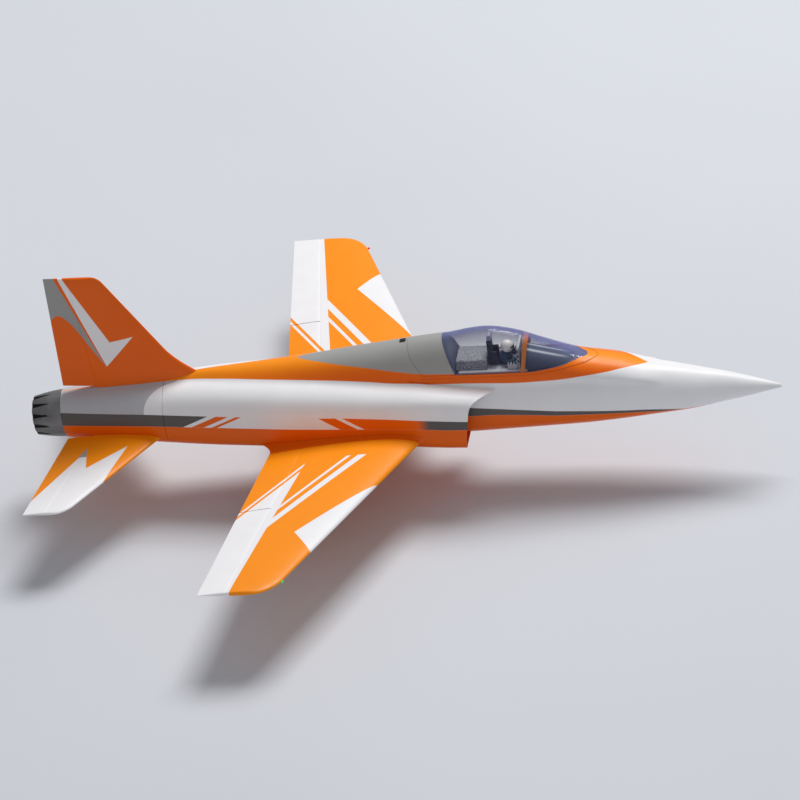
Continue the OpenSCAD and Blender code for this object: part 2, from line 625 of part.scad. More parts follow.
// Tailplane
stab_x = x_at(stab_s);
stab_y = 60;
stab_tip_y = stab_span / 2;
stab_corner_l = 25;
stab_corner_back = 22;
function stab_te_x(u) = stab_x - stab_root_c - u * (stab_back + stab_tip_c - stab_root_c);
function stab_foil(y) =
    let (u = (y - stab_y) / (stab_tip_y - stab_y), bend = rounded(y, stab_tip_y, stab_corner_l))
    let (z = -stab_drop - u * stab_droop)
    [[stab_x - u * stab_back - bend * stab_corner_back, z], [stab_te_x(u), z],
     lerp(stab_root_t, stab_tip_t, u) * (1 - bend / 2), stab_hinge(y)];
function stab_hinge(y) =
    let (u = (y - stab_y) / (stab_tip_y - stab_y))
    [stab_te_x(u) + lerp(elevator_c, elevator_tip_c, u), -stab_drop - u * stab_droop];
function stab_axis(y) = let (h = stab_hinge(y)) [h[0], y, h[1]];
stab_stations = concat([lerp(stab_y, stab_tip_y, 0.3), lerp(stab_y, stab_tip_y, 0.65)],
    [for (u = [0, 0.6, 0.9, 1]) stab_tip_y - stab_corner_l * (1 - u)]);
module stab_rod(r) { rod(stab_axis(elevator_y - 2), stab_axis(stab_tip_y - stab_corner_l), r); }
stab_servo_y = 92;
module stab_servo_at() {
    f = stab_foil(stab_servo_y);
    x = stab_hinge(stab_servo_y)[0] + 62;
    z = f[0][1] - foil(chord_share(f, x), f[2]) + 1.5;
    translate([x, stab_servo_y, z]) rotate([-2, 0, 0]) children();
}
function stab_root(j, y = stab_y, n = 4) =
    let (p = fixed_section(stab_foil(y))[j], in = beside_body(p[0], p[1]))
    n == 0 ? [p[0], in, p[1]] : stab_root(j, in, n - 1);
module stab() {
    root = [for (j = [0:len(fixed_section(stab_foil(stab_y))) - 1]) stab_root(j)];
    mids = [for (i = [1:7]) (root[9 - i] + root[9 + i]) / 2];
    ridge = [for (p = mids) [p[0], beside_body(p[0], p[2]), p[2]]];
    difference() {
        solid(concat([root], [for (y = stab_stations) lay_flat(fixed_section(stab_foil(y)), y)]), 9, ridge);
        stab_servo_at() servo_pocket();
    }
}
module stab_left() { color("white") on_ground() stab(); }
module stab_right() { color("white") on_ground() starboard() stab(); }
module elevator() {
    difference() {
        solid([for (y = concat([elevator_y], stab_stations)) lay_flat(moving_section(stab_foil(y)), y)]);
        stab_rod(rod_r + running);
    }
}
module elevator_left() { color("white") on_ground() elevator(); }
module elevator_right() { color("white") on_ground() starboard() elevator(); }

// Fin and rudder: sections at a height z, with a fillet down to the spine in front
fin_te_x = x_at(fin_te_s);
fin_fillet_z = 150;
fin_fillet_l = 44;
fin_fillet_h = 80;
fin_corner_h = 14;
fin_corner_back = 14;
fin_root_z = 92;
function fin_le_x(z) = fin_te_x + fin_tip_c + fin_sweep * (fin_h - z)
    + fin_fillet_l * pow(max(0, fin_fillet_z - z) / fin_fillet_h, 2)
    - fin_corner_back * rounded(z, fin_h, fin_corner_h);
function fin_hinge(z) =
    let (u = (z - rudder_z) / (fin_h - rudder_z))
    [fin_te_x + lerp(rudder_c, rudder_tip_c, u), 0];
function fin_foil(z) =
    let (u = (z - rudder_z) / (fin_h - rudder_z), bend = rounded(z, fin_h, fin_corner_h))
    [[fin_le_x(max(z, fin_root_z)), 0], [fin_te_x, 0], lerp(fin_root_t, fin_tip_t, u) * (1 - bend / 2),
     fin_hinge(z)];
function stand(points, z) = [for (p = points) [p[0], -p[1], z]];
fin_stations = concat([for (u = [0.02, 0.2, 0.4, 0.7, 1]) lerp(fin_root_z + 12, fin_fillet_z, u)],
    [lerp(fin_fillet_z, fin_h, 0.5)], [for (u = [0, 0.5, 0.85, 1]) fin_h - fin_corner_h * (1 - u)]);
function fin_axis(z) = [fin_hinge(z)[0], 0, z];
module fin_rod(r) { rod(fin_axis(rudder_z - 2), fin_axis(fin_h - fin_corner_h), r); }
fin_servo_z = 118;
module fin_servo_at() {
    f = fin_foil(fin_servo_z);
    x = fin_hinge(fin_servo_z)[0] + 70;
    translate([x, foil(chord_share(f, x), f[2]) - 1.5, fin_servo_z]) rotate([90, 0, 0]) children();
}
function fin_root(j, z = rudder_z, n = 4) =
    let (p = fixed_section(fin_foil(z))[j], up = above_body(p[0], p[1]))
    n == 0 ? [p[0], -p[1], up] : fin_root(j, up, n - 1);
module fin() {
    root = [for (j = [0:len(fixed_section(fin_foil(rudder_z))) - 1]) fin_root(j)];
    ridge = [for (i = [1:7]) let (x = root[9 - i][0]) [x, 0, above_body(x, 0)]];
    color("darkorange") on_ground() difference() {
        solid(concat([root], [for (z = fin_stations) stand(fixed_section(fin_foil(z)), z)]), 9, ridge);
        fin_servo_at() servo_pocket();
    }
}
module rudder() {
    color("darkorange") on_ground() difference() {
        solid([for (z = concat([rudder_z], fin_stations)) stand(moving_section(fin_foil(z)), z)]);
        fin_rod(rod_r + running);
    }
}

module hinge_rods() {
    color("silver") on_ground() {
        wing_rod(rod_r);
        starboard() wing_rod(rod_r);
        stab_rod(rod_r);
        starboard() stab_rod(rod_r);
        fin_rod(rod_r);
    }
}

// Servo with the collar of its output shaft
module servo() {
    translate([0, 0, servo_size[2] / 2]) cube(servo_size, center = true);
    translate([servo_size[0] / 4, 0, -1]) cylinder(r = 4, h = 1);
}
module servos() {
    color("dimgray") on_ground() {
        for (y = [flap_servo_y, aileron_servo_y]) {
            wing_servo_at(y) servo();
            starboard() wing_servo_at(y) servo();
        }
        stab_servo_at() servo();
        starboard() stab_servo_at() servo();
        fin_servo_at() servo();
    }
}

// Fan unit
fan_x = x_at(fan_s);
hub_gap = 0.3;
rotor_l = 22;
stator_l = 26;
module ring_x(x, l, r_out, r_in) {
    along_x(x - l) difference() {
        cylinder(r = r_out, h = l);
        translate([0, 0, -1]) cylinder(r = r_in, h = l + 2);
    }
}
stator_x = fan_x - fan_l + stator_l;
module fan_housing() {
    lug_s = fan_s + 40;
    lug_y = side_y(lug_s, 0) - wall - seam - facet_room;
    color("#303030") on_ground() {
        for (side = [-1, 1]) translate([x_at(lug_s), side * (lug_y + fan_bore_r + 1) / 2, 0])
            translate([0, (fan_bore_r + 1 - lug_y) / 2, -3]) cube([20, lug_y - fan_bore_r - 1, 6]);
        ring_x(fan_x, fan_l, fan_bore_r + fan_wall, fan_bore_r);
        ring_x(stator_x, stator_l, fan_hub_r, motor_r + hub_gap);
        for (k = [0:fan_vanes - 1]) rotate([k * 360 / fan_vanes, 0, 0])
            translate([stator_x - stator_l, -1, fan_hub_r - 1])
                cube([stator_l, 2, fan_bore_r + 1 - fan_hub_r + 1]);
    }
}
motor_l = 52;
module fan_motor() {
    color("darkgoldenrod") on_ground() {
        along_x(stator_x - motor_l) cylinder(r = motor_r, h = motor_l);
        along_x(stator_x) cylinder(r = shaft_r, h = rotor_l - 2);
        ring_x(stator_x - stator_l - hub_gap / 2, 4, fan_hub_r - 1, motor_r - 1);
    }
}
rotor_x = stator_x + 1 + rotor_l;
spinner_l = 15;
blade_l = fan_bore_r - 1.2 - fan_hub_r;
module fan_rotor() {
    color("#252525") on_ground() {
        difference() {
            along_x(rotor_x - rotor_l) cylinder(r = fan_hub_r, h = rotor_l);
            along_x(rotor_x - rotor_l - 1) cylinder(r = shaft_r + running, h = rotor_l - 1);
        }
        along_x(rotor_x) cylinder(r1 = fan_hub_r, r2 = 5, h = spinner_l);
        for (k = [0:fan_blades - 1]) rotate([k * 360 / fan_blades, 0, 0])
            translate([rotor_x - rotor_l / 2, 0, fan_hub_r - 2]) rotate([0, 0, 35])
                translate([-rotor_l / 2 + 1, -0.9, 0]) cube([rotor_l - 2, 1.8, blade_l + 2]);
    }
}
tube_wall = 0.8;
module thrust_tube() {
    front = fan_x - fan_l - seam;
    rear = x_at(tail_s) + 6;
    color("silver") on_ground() along_x(rear) difference() {
        cylinder(r1 = tube_end_r + tube_wall, r2 = fan_bore_r + tube_wall, h = front - rear);
        translate([0, 0, -0.01]) cylinder(r1 = tube_end_r, r2 = fan_bore_r, h = front - rear + 0.02);
    }
}
module nozzle() {
    root_r = tail_r - 1;
    bead = 1.5;
    color("#4a4a4a") on_ground() translate([x_at(tail_s), 0, tail_z]) rotate([0, -90 - nozzle_cant, 0])
        difference() {
            union() {
                cylinder(r1 = root_r, r2 = nozzle_exit_r, h = nozzle_l);
                cylinder(r = root_r + 0.6, h = bead);
            }
            translate([0, 0, -1]) cylinder(r = nozzle_bore_r, h = nozzle_l + 2);
            translate([0, 0, -0.01]) cylinder(r1 = tube_end_r + 3, r2 = nozzle_bore_r, h = nozzle_l / 3);
        }
}

// Ducts from the intakes to the fan, one from each side
duct_t = 1;
duct_half_h = 36;
module inlet_duct() {
    front_s = nose_l + 6;
    rear_s = fan_s - seam;
    front_y = (core_half_w + body_half_w) / 2 - 2;
    front_half_w = (body_half_w - core_half_w) / 2 - 5;
    rear_y = fan_bore_r / 2 + 1;
    rear_half_w = fan_bore_r / 2 - 2;
    angles = [for (k = [0:19]) k * 18];
    function ring(u, inset) =
        let (w = lerp(front_half_w, rear_half_w, u) - inset, h = duct_half_h - 2 * u - inset)
        let (ease = u * u * (3 - 2 * u))
        [for (th = angles) let (r = box_r(th, w, h, 3.2))
            [x_at(lerp(front_s, rear_s, u)), lerp(front_y, rear_y, ease) + r * cos(th), 7 + r * sin(th)]];
    steps = spread(0, 1, 6);
    shell([for (u = steps) ring(u, 0)], [for (u = steps) ring(u, duct_t)]);
}
module inlet_ducts() {
    color("gainsboro") on_ground() {
        inlet_duct();
        starboard() inlet_duct();
    }
}

// Battery, tray, speed controller and receiver under the hatch
tray_t = 3;
tray_rear_s = nose_l - 20;
tray_front_s = nose_pivot_s + 40;
function core_wall_y(s, z) =
    let (h = at_station(core_rows, s, z > 0 ? 2 : 3) - wall, n = at_station(core_rows, s, 4))
    (at_station(core_rows, s, 1) - wall) * pow(1 - pow(abs(z) / h, n), 1 / n) - facet_room;
module battery_tray() {
    edge = [for (s = spread(tray_front_s, tray_rear_s, 8)) [x_at(s), core_wall_y(s, tray_z)]];
    color("burlywood") on_ground() translate([0, 0, tray_z - tray_t]) linear_extrude(tray_t)
        polygon(concat(edge, [for (k = [len(edge) - 1:-1:0]) [edge[k][0], -edge[k][1]]]));
}
battery_x = x_at(tray_front_s + 10 + battery_l / 2);
battery_z = tray_z + 0.2;
module battery() {
    color("steelblue") on_ground() {
        translate([battery_x - battery_l / 2, -battery_w / 2, battery_z])
            cube([battery_l, battery_w, battery_h]);
        translate([battery_x - battery_l / 2 - 6, -8, battery_z + battery_h - 14]) cube([6, 16, 10]);
    }
}
strap_t = 1.5;
strap_w = 20;
module battery_straps() {
    half = battery_w / 2 + seam;
    color("#202020") on_ground() for (x = [-0.28, 0.28])
        translate([battery_x + x * battery_l - strap_w / 2, 0, battery_z]) difference() {
            translate([0, -half - strap_t, 0])
                cube([strap_w, 2 * (half + strap_t), battery_h + seam + strap_t]);
            translate([-1, -half, -1]) cube([strap_w + 2, 2 * half, battery_h + seam + 1]);
        }
}
function floor_z(s) = -at_station(core_rows, s, 3) + wall;
module speed_controller() {
    size = [88, 36, 24];
    rear_s = nose_l - 30;
    color("#3050a0") on_ground() translate([x_at(rear_s), -size[1] / 2, floor_z(rear_s - size[0]) + 2.2]) {
        cube(size);
        for (k = [0:7]) translate([8 + 9 * k, 2, size[2]]) cube([2, size[1] - 4, 5]);
    }
}
module receiver() {
    size = [26, 46, 14];
    color("#222222") on_ground() translate([x_at(tray_rear_s - 2), -size[1] / 2, battery_z]) cube(size);
}

// Hatch: painted rail with its floor, the glass, the bow and the deck behind the glass
hatch_front_s = nose_cone_l + seam;
hatch_stations = concat([for (u = [0.02, 0.12, 0.3, 0.55, 0.8]) lerp(hatch_front_s, hatch_rise_s, u)],
    [for (u = [0, 0.1, 0.25, 0.45, 0.65, 0.85, 1]) lerp(hatch_rise_s, nose_l - seam, u)]);
function rail_angle(s, z) = min(88, angle_at_z(core_rows, s, z));
function glass_base_z(s) = seam_z(s) + rail_h;
rail_t = 3;
hatch_floor_t = 2;
module hatch_frame() {
    function rail_pt(s, z) = let (th = rail_angle(s, z)) skin_pt(core_rows, s, th);
    function ring(s) =
        let (low = rail_pt(s, seam_z(s) + seam / 2), top = rail_pt(s, glass_base_z(s) - seam / 2))
        let (in_low = rail_pt(s, seam_z(s) + hatch_floor_t) - [0, rail_t, 0])
        let (in_top = [top[0], max(1, top[1] - rail_t), top[2]])
        let (half = [top, low], inside = [in_low, in_top])
        concat(half, [for (p = [low, top]) [p[0], -p[1], p[2]]],
            [for (p = [in_top, in_low]) [p[0], -p[1], p[2]]], inside);
    color("darkorange") on_ground() solid([for (s = hatch_stations) ring(s)]);
}
function glass_arc(s, inset) =
    let (a = min(88, angle_at_z(core_rows, s, glass_base_z(s) + seam / 2, inset)))
    spread(a, 180 - a, 24);
function glass_ring(s, inset) = skin_ring(core_rows, s, glass_arc(s, inset), inset);
function glass_lean_s(th, gap) =
    let (z = skin_r(core_rows, glass_rear_s, th) * sin(th))
    glass_rear_s + gap + glass_lean * max(0, z - glass_base_z(glass_rear_s));
function lean_ring(gap, inset) =
    [for (th = glass_arc(glass_rear_s, inset)) skin_pt(core_rows, glass_lean_s(th, gap), th, inset)];
bow_stations = [bow_s - bow_w / 2, bow_s, bow_s + bow_w / 2];
module canopy_glass() {
    stations = concat([for (u = [0.06, 0.16, 0.32, 0.55, 0.8, 1]) lerp(hatch_front_s, hatch_rise_s, u)],
        bow_stations, [for (u = [0.25, 0.5, 0.75, 1]) lerp(bow_s + bow_w / 2, glass_rear_s - 22, u)]);
    color("#8080b0", 0.5) on_ground() shell(
        concat([for (s = stations) glass_ring(s, 0)], [lean_ring(0, 0)]),
        concat([for (s = stations) glass_ring(s, glass_t)], [lean_ring(0, glass_t)]), closed = false);
}
module hatch_deck() {
    stations = [for (u = [0.35, 0.7, 1]) lerp(glass_rear_s + 26, nose_l - seam, u)];
    color("gray") on_ground() shell(
        concat([lean_ring(seam, 0)], [for (s = stations) glass_ring(s, 0)]),
        concat([lean_ring(seam, wall)], [for (s = stations) glass_ring(s, wall)]), closed = false);
}
module canopy_bow() {
    inset = glass_t + seam;
    color("darkorange") on_ground() shell([for (s = bow_stations) glass_ring(s, inset)],
        [for (s = bow_stations) glass_ring(s, inset + 2)], closed = false);
}

// Cockpit furniture on the hatch floor
deck_z = hatch_z + hatch_floor_t + 0.3;
floor_t = 1.5;
cockpit_half_w = spine_half_w - 9;
seat_s = bow_s + 48;
panel_s = bow_s + 14;
module cockpit_floor() {
    front = bow_s + 2;
    rear = glass_rear_s - 6;
    color("gray") on_ground() translate([x_at(rear), 0, deck_z]) {
        translate([0, -cockpit_half_w, 0]) cube([rear - front, 2 * cockpit_half_w, floor_t]);
        for (side = [-1, 1]) translate([0, side * (cockpit_half_w - 4) - 4, 0]) cube([rear - front, 8, 8]);
        translate([0, -cockpit_half_w, 0]) cube([rear - seat_s - 34, 2 * cockpit_half_w, 30]);
    }
}
cockpit_z = deck_z + floor_t + 0.2;
module instrument_panel() {
    color("#222222") on_ground() translate([x_at(panel_s + 4), -26, cockpit_z]) {
        cube([5, 52, 24]);
        translate([-4, -2, 22]) cube([14, 56, 2]);
    }
}
seat_w = 32;
module pilot_seat() {
    color("#181818") on_ground() translate([x_at(seat_s + 28), -seat_w / 2, cockpit_z]) {
        cube([40, seat_w, 6]);
        cube([9, seat_w, 50]);
        translate([1, 4, 50]) cube([8, seat_w - 8, 10]);
    }
}
pilot_x = x_at(seat_s + 2);
chest_h = 33;
module pilot_body() {
    color("#5a6478") on_ground() translate([pilot_x, 0, cockpit_z + 6.3]) {
        cylinder(r1 = 13, r2 = 11, h = 26);
        translate([0, 0, chest_h - 9.3]) sphere(r = 9.3);
        for (side = [-1, 1]) translate([2, side * 12.6, 20]) sphere(r = 5.7);
        for (side = [-1, 1]) translate([3, side * 13.1, 20]) rotate([0, 115, 0]) cylinder(r = 3.4, h = 20);
    }
}
helmet_r = 12;
module pilot_helmet() {
    z = cockpit_z + 6.6 + chest_h + helmet_r;
    color("white") on_ground() translate([pilot_x + 2, 0, z]) sphere(r = helmet_r);
}

// Latch on the spine behind the hatch, pushed aft to free it
latch_size = [12, 8, 2.5];
latch_s = nose_l + 10;
latch_slope = atan((skin_r(body_rows, latch_s, 90) - skin_r(body_rows, latch_s + 10, 90)) / 10);
module hatch_latch() {
    color("#202020") on_ground() translate([x_at(latch_s), 0, skin_r(body_rows, latch_s, 90) + 0.3])
        rotate([0, -latch_slope, 0]) translate([-latch_size[0] / 2, -latch_size[1] / 2, 0]) {
            cube(latch_size);
            for (k = [0:2]) translate([2.5 + 3 * k, 0.5, latch_size[2]]) cube([1, latch_size[1] - 1, 0.8]);
        }
}

// Nose gear, stowed aft of its pivot
nose_pivot = [x_at(nose_pivot_s), 0, -nose_pivot_drop];
pivot_half = 7;
module on_nose_leg() {
    translate(nose_pivot) rotate([0, -90 + nose_leg_tilt, 0]) children();
}
module pin_y(r, half) { rotate([90, 0, 0]) cylinder(r = r, h = 2 * half, center = true); }
module nose_retract() {
    ear_t = 4;
    ear = pivot_half + 0.5 + ear_t;
    shelf = core_wall_y(nose_pivot_s - 14, nose_pivot_drop - 36) - seam;
    color("#303030") on_ground() translate(nose_pivot) {
        for (side = [-1, 1]) translate([0, side * (ear - ear_t / 2), 0]) {
            pin_y(7, ear_t / 2);
            translate([-7, -ear_t / 2, 0]) cube([14, ear_t, 26]);
        }
        translate([-20, -ear, 22]) cube([34, 2 * ear, 10]);
        translate([-20, -shelf, 32]) cube([34, 2 * shelf, 4]);
        pin_y(axle_r, ear);
    }
}
steer_at = 34;
sleeve_r = leg_r + 1.5;
crown_at = nose_leg_l - nose_wheel_r - 8;
module nose_leg() {
    color("silver") on_ground() on_nose_leg() difference() {
        union() {
            pin_y(6, pivot_half);
            cylinder(r = sleeve_r, h = steer_at);
        }
        pin_y(axle_r + running, pivot_half + 1);
        translate([0, 0, 12]) cylinder(r = leg_r - 1 + running, h = steer_at);
    }
}
module wheel_fork(l, crown) {
    for (side = [-1, 1]) translate([-4, side * (fork_half - fork_t / 2) - fork_t / 2, crown])
        cube([8, fork_t, l - crown + 4]);
    translate([-5, -fork_half, crown - 5]) cube([10, 2 * fork_half, 5]);
    translate([0, 0, l]) pin_y(axle_r, fork_half);
}
module nose_fork() {
    color("silver") on_ground() on_nose_leg() {
        translate([0, 0, 14]) cylinder(r = leg_r - 1, h = steer_at - 14 + 0.5);
        translate([0, 0, steer_at + 0.4]) cylinder(r = leg_r, h = crown_at - 5 - steer_at);
        wheel_fork(nose_leg_l, crown_at);
    }
}
hub_part = 0.56;
module hub(r) {
    difference() {
        union() {
            pin_y(r * hub_part, tyre_w / 2 - 2);
            pin_y(r * 0.25, tyre_w / 2);
        }
        pin_y(axle_r + running, tyre_w);
        for (k = [0:4]) rotate([0, k * 72, 0]) translate([r * 0.4, 0, 0]) pin_y(r * 0.08, tyre_w);
    }
}
module tyre(r) {
    edge = 3;
    in_r = r * hub_part + 0.1;
    rotate([90, 0, 0]) rotate_extrude() polygon([[in_r, -tyre_w / 2 + 1], [r - 2 * edge, -tyre_w / 2],
        [r - edge, -tyre_w / 2 + 0.8], [r - 0.8, -tyre_w / 2 + edge], [r, -tyre_w / 4], [r, tyre_w / 4],
        [r - 0.8, tyre_w / 2 - edge], [r - edge, tyre_w / 2 - 0.8], [r - 2 * edge, tyre_w / 2],
        [in_r, tyre_w / 2 - 1]]);
}
module at_nose_axle() { on_nose_leg() translate([0, 0, nose_leg_l]) children(); }
module nose_hub() { color("white") on_ground() at_nose_axle() hub(nose_wheel_r); }
module nose_tyre() { color("#202020") on_ground() at_nose_axle() tyre(nose_wheel_r); }
module nose_door() {
    door_t = 2;
    front_s = nose_pivot_s - nose_slot_front + 6;
    rear_s = nose_axle_s - nose_wheel_r - well_gap - 4;
    half = asin((nose_slot_half_w - 1) / at_station(core_rows, nose_cone_l + 40, 3));
    stations = spread(front_s, rear_s, 4);
    angles = spread(-90 - half, -90 + half, 8);
    post_s = nose_pivot_s + steer_at / 2 + 5;
    post_low = -at_station(core_rows, post_s, 3) + door_t / 2;
    post_top = -nose_pivot_drop + (post_s - 3 - nose_pivot_s) * tan(nose_leg_tilt) - sleeve_r - seam;
    color("darkorange") on_ground() {
        skin_shell(core_rows, stations, angles, door_t, closed = false);
        translate([x_at(post_s) - 3, -2.5, post_low]) cube([6, 5, post_top - post_low]);
    }
}

// Main gear, stowed inward of its pivot
main_tilt = atan((main_pivot[2] - main_axle[2]) / main_leg_l);
module on_main_leg() {
    translate(main_pivot) rotate([90 + main_tilt, 0, 0]) rotate([0, 0, 90]) children();
}
main_leg_len = norm(main_pivot - main_axle);
main_crown_at = main_leg_len - main_wheel_r - 8;
module main_leg() {
    on_main_leg() {
        difference() {
            union() {
                pin_y(6, pivot_half);
                cylinder(r = leg_r, h = main_crown_at);
            }
            pin_y(axle_r + running, pivot_half + 1);
        }
        rotate([0, 0, 90]) wheel_fork(main_leg_len, main_crown_at);
    }
}
module main_leg_left() { color("silver") on_ground() main_leg(); }
module main_leg_right() { color("silver") on_ground() starboard() main_leg(); }
module at_main_axle() { on_main_leg() translate([0, 0, main_leg_len]) rotate([0, 0, 90]) children(); }
module main_hub_left() { color("white") on_ground() at_main_axle() hub(main_wheel_r); }
module main_hub_right() { color("white") on_ground() starboard() at_main_axle() hub(main_wheel_r); }
module main_tyre_left() { color("#202020") on_ground() at_main_axle() tyre(main_wheel_r); }
module main_tyre_right() { color("#202020") on_ground() starboard() at_main_axle() tyre(main_wheel_r); }
module main_retract() {
    ear_t = 4;
    ear = pivot_half + 0.5 + ear_t;
    translate(main_pivot) {
        for (side = [-1, 1]) translate([side * (ear - ear_t / 2), 0, 0]) rotate([0, 0, 90]) {
            pin_y(7, ear_t / 2);
            translate([0, -ear_t / 2, -7]) cube([14, ear_t, 14]);
        }
        translate([-retract_size[0] / 2, 9, -retract_size[2] / 2])
            cube([retract_size[0], retract_size[1] - 22, retract_size[2]]);
        rotate([0, 0, 90]) pin_y(axle_r, ear);
    }
}
module main_retracts() {
    color("#303030") on_ground() {
        main_retract();
        starboard() main_retract();
    }
}
module main_door() {
    door_t = 1.6;
    in_y = main_axle[1] + main_leg_len - main_crown_at + 7;
    out_y = main_pivot_y - 12;
    half = slot_half - 1;
    low_in = under_wing(main_x, in_y);
    low_out = under_wing(main_x, out_y);
    post_y = (in_y + out_y) / 2;
    post_top = main_pivot[2] - (main_pivot_y - post_y) * tan(main_tilt) - leg_r - seam;
    rotate([90, 0, 90]) translate([0, 0, main_x - half]) linear_extrude(2 * half)
        polygon([[in_y, low_in], [out_y, low_out], [out_y, low_out + door_t], [in_y, low_in + door_t]]);
    translate([main_x - 3, post_y - 3, under_wing(main_x, post_y) + door_t / 2])
        cube([6, 6, post_top - under_wing(main_x, post_y) - door_t / 2]);
}
module main_doors_left() { color("white") on_ground() main_door(); }
module main_doors_right() { color("white") on_ground() starboard() main_door(); }

// Lights in front of the rounded corners of the wing tips
light_r = 2.5;
module nav_light() {
    y = wing_tip_y - tip_corner_l * 0.9;
    f = wing_foil(y);
    translate([f[0][0] + light_r + seam, y, f[0][1]]) sphere(r = light_r);
}
module nav_lights() {
    color("limegreen") on_ground() {
        nav_light();
        starboard() nav_light();
    }
}

nose_cone();
front_fuselage();
main_fuselage();
tail_fuselage();
intake_lip_left();
intake_lip_right();
wing_fairing_left();
wing_fairing_right();
wing_left();
wing_right();
flap_left();
flap_right();
aileron_left();
aileron_right();
stab_left();
stab_right();
elevator_left();
elevator_right();
fin();
rudder();
hinge_rods();
nozzle();
thrust_tube();
fan_housing();
fan_motor();
fan_rotor();
wing_spar();
inlet_ducts();
battery_tray();
battery();
battery_straps();
speed_controller();
receiver();
servos();
hatch_frame();
hatch_deck();
canopy_glass();
canopy_bow();
cockpit_floor();
instrument_panel();
pilot_seat();
pilot_body();
pilot_helmet();
hatch_latch();
nose_retract();
nose_leg();
nose_fork();
nose_hub();
nose_tyre();
nose_door();
main_retracts();
main_leg_left();
main_leg_right();
main_hub_left();
main_hub_right();
main_tyre_left();
main_tyre_right();
main_doors_left();
main_doors_right();
nav_lights();
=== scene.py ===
import math

import bmesh
import bpy
import numpy as np
from mathutils import Matrix, Vector


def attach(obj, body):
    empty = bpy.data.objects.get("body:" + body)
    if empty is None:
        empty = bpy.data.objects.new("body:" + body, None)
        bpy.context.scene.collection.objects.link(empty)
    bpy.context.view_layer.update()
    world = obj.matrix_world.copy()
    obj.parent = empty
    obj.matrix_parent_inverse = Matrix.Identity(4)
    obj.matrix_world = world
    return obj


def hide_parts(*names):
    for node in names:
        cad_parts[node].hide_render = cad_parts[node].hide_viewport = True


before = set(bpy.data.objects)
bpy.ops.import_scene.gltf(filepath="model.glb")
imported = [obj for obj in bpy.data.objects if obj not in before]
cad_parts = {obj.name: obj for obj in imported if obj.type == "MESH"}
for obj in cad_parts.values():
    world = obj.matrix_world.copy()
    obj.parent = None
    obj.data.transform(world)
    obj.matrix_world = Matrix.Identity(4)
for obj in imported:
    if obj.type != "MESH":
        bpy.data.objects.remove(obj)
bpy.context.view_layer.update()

# Sizes in millimetres about the thrust line, which is BELLY_H above the ground. Stations (s) run back from
# the nose tip, and angles from port over the top to starboard.
MM, TOP, TURN = 0.001, math.pi / 2, 2 * math.pi
NOSE_L, AFT_L, TAIL_L, NOSE_CONE_L = 750.0, 734.0, 218.0, 400.0
CORE_HALF_W, CORE_TOP_H, BODY_HALF_W, SHOULDER_H = 67.0, 76.0, 105.0, 82.0
BELLY_H, BELLY_ROUND, TAIL_R, WALL, SEAM = 65.0, 66.0, 50.0, 4.0, 0.3
SPINE_Z, SPINE_HALF_W, CANOPY_H = 75.0, 50.0, 93.0
BLEND, LOBE_START, LOBE_FADE_L, CREASE_FADE = 12, 0.8, 25.0, 4
LIP_S, LIP_SWEEP, LIP_RAKE, LIP_TOP_H, LIP_WALL, LIP_SQUARE_H = 623.0, 1.04, 0.17, 54.0, 3.0, 40.0
HATCH_Z, HATCH_RISE, HATCH_RISE_S, HATCH_RISE_L, RAIL_H, RAIL_T = 82.0, 0.12, 500.0, 88.0, 6.0, 3.0
HATCH_TIP_S, GLASS_TIP_S, HATCH_ROUND, GLASS_ROUND, HATCH_GAP = 365.0, 386.0, 45.0, 34.0, 0.9
HATCH_REAR_LEAN, HATCH_REAR_BEND, BLUNT_TIP = 31.0, 1.5, 0.995
GLASS_REAR_S, GLASS_LEAN, GLASS_T, BOW_S, BOW_W, BOW_LEAN = 653.0, 0.35, 1.2, 512.0, 9.0, 9.0
NOZZLE_L, NOZZLE_EXIT_R, NOZZLE_BORE_R = 63.0, 40.5, 38.0
NOZZLE_CANT = math.radians(4)
TAIL_S = NOSE_L + AFT_L
NOSE_X = (TAIL_S + NOZZLE_L * math.cos(NOZZLE_CANT) + NOZZLE_EXIT_R * math.sin(NOZZLE_CANT)) / 2
SURFACE_GAP, BREAK_GAP, TE_HALF = 0.6, 2.6, 0.7
PETALS, PETAL_START, PETAL_NOTCH = 12, 0.4, 0.22


def lerp(a, b, u):
    return a + (b - a) * u


def spread(a, b, n):
    return np.linspace(a, b, n + 1)


def around(n):
    """Angles of a full turn in n steps."""
    return np.arange(n) * TURN / n


# Sections of the body by station, in hundredths: half width, top, bottom and squareness
CORE = np.array([
    [0, 4, 6.5, 1.5, 2], [3.5, 15, 18, 9, 2], [9, 30, 34, 22.5, 2], [15, 43, 50, 35, 2],
    [20, 54.5, 60.5, 46, 2], [25.5, 66, 72, 55, 2.05], [31, 75, 83, 60, 2.1], [37, 82, 88, 67, 2.1],
    [42, 88, 93.5, 72, 2.15], [47.5, 92.5, 96.5, 77, 2.2], [53.5, 95.5, 98.5, 83, 2.2],
    [64, 98.5, 100, 87, 2.3], [75, 100, 100, 92, 2.4], [85, 100, 100, 98, 2.4], [100, 100, 100, 98, 2.4],
]) * [NOSE_L / 100, CORE_HALF_W / 100, CORE_TOP_H / 100, BELLY_H / 100, 1]
AFT = [
    [0, 100, 69, 100, 4.2], [16, 94.5, 90.5, 100, 3.4], [34, 80, 100, 100, 3.2], [48, 62, 100, 100, 3],
    [60, 45.5, 90.5, 94, 2.8], [74, 27, 69, 75, 2.4], [88, 12, 40, 44, 2.2], [100, 0, 6, 0, 2],
]
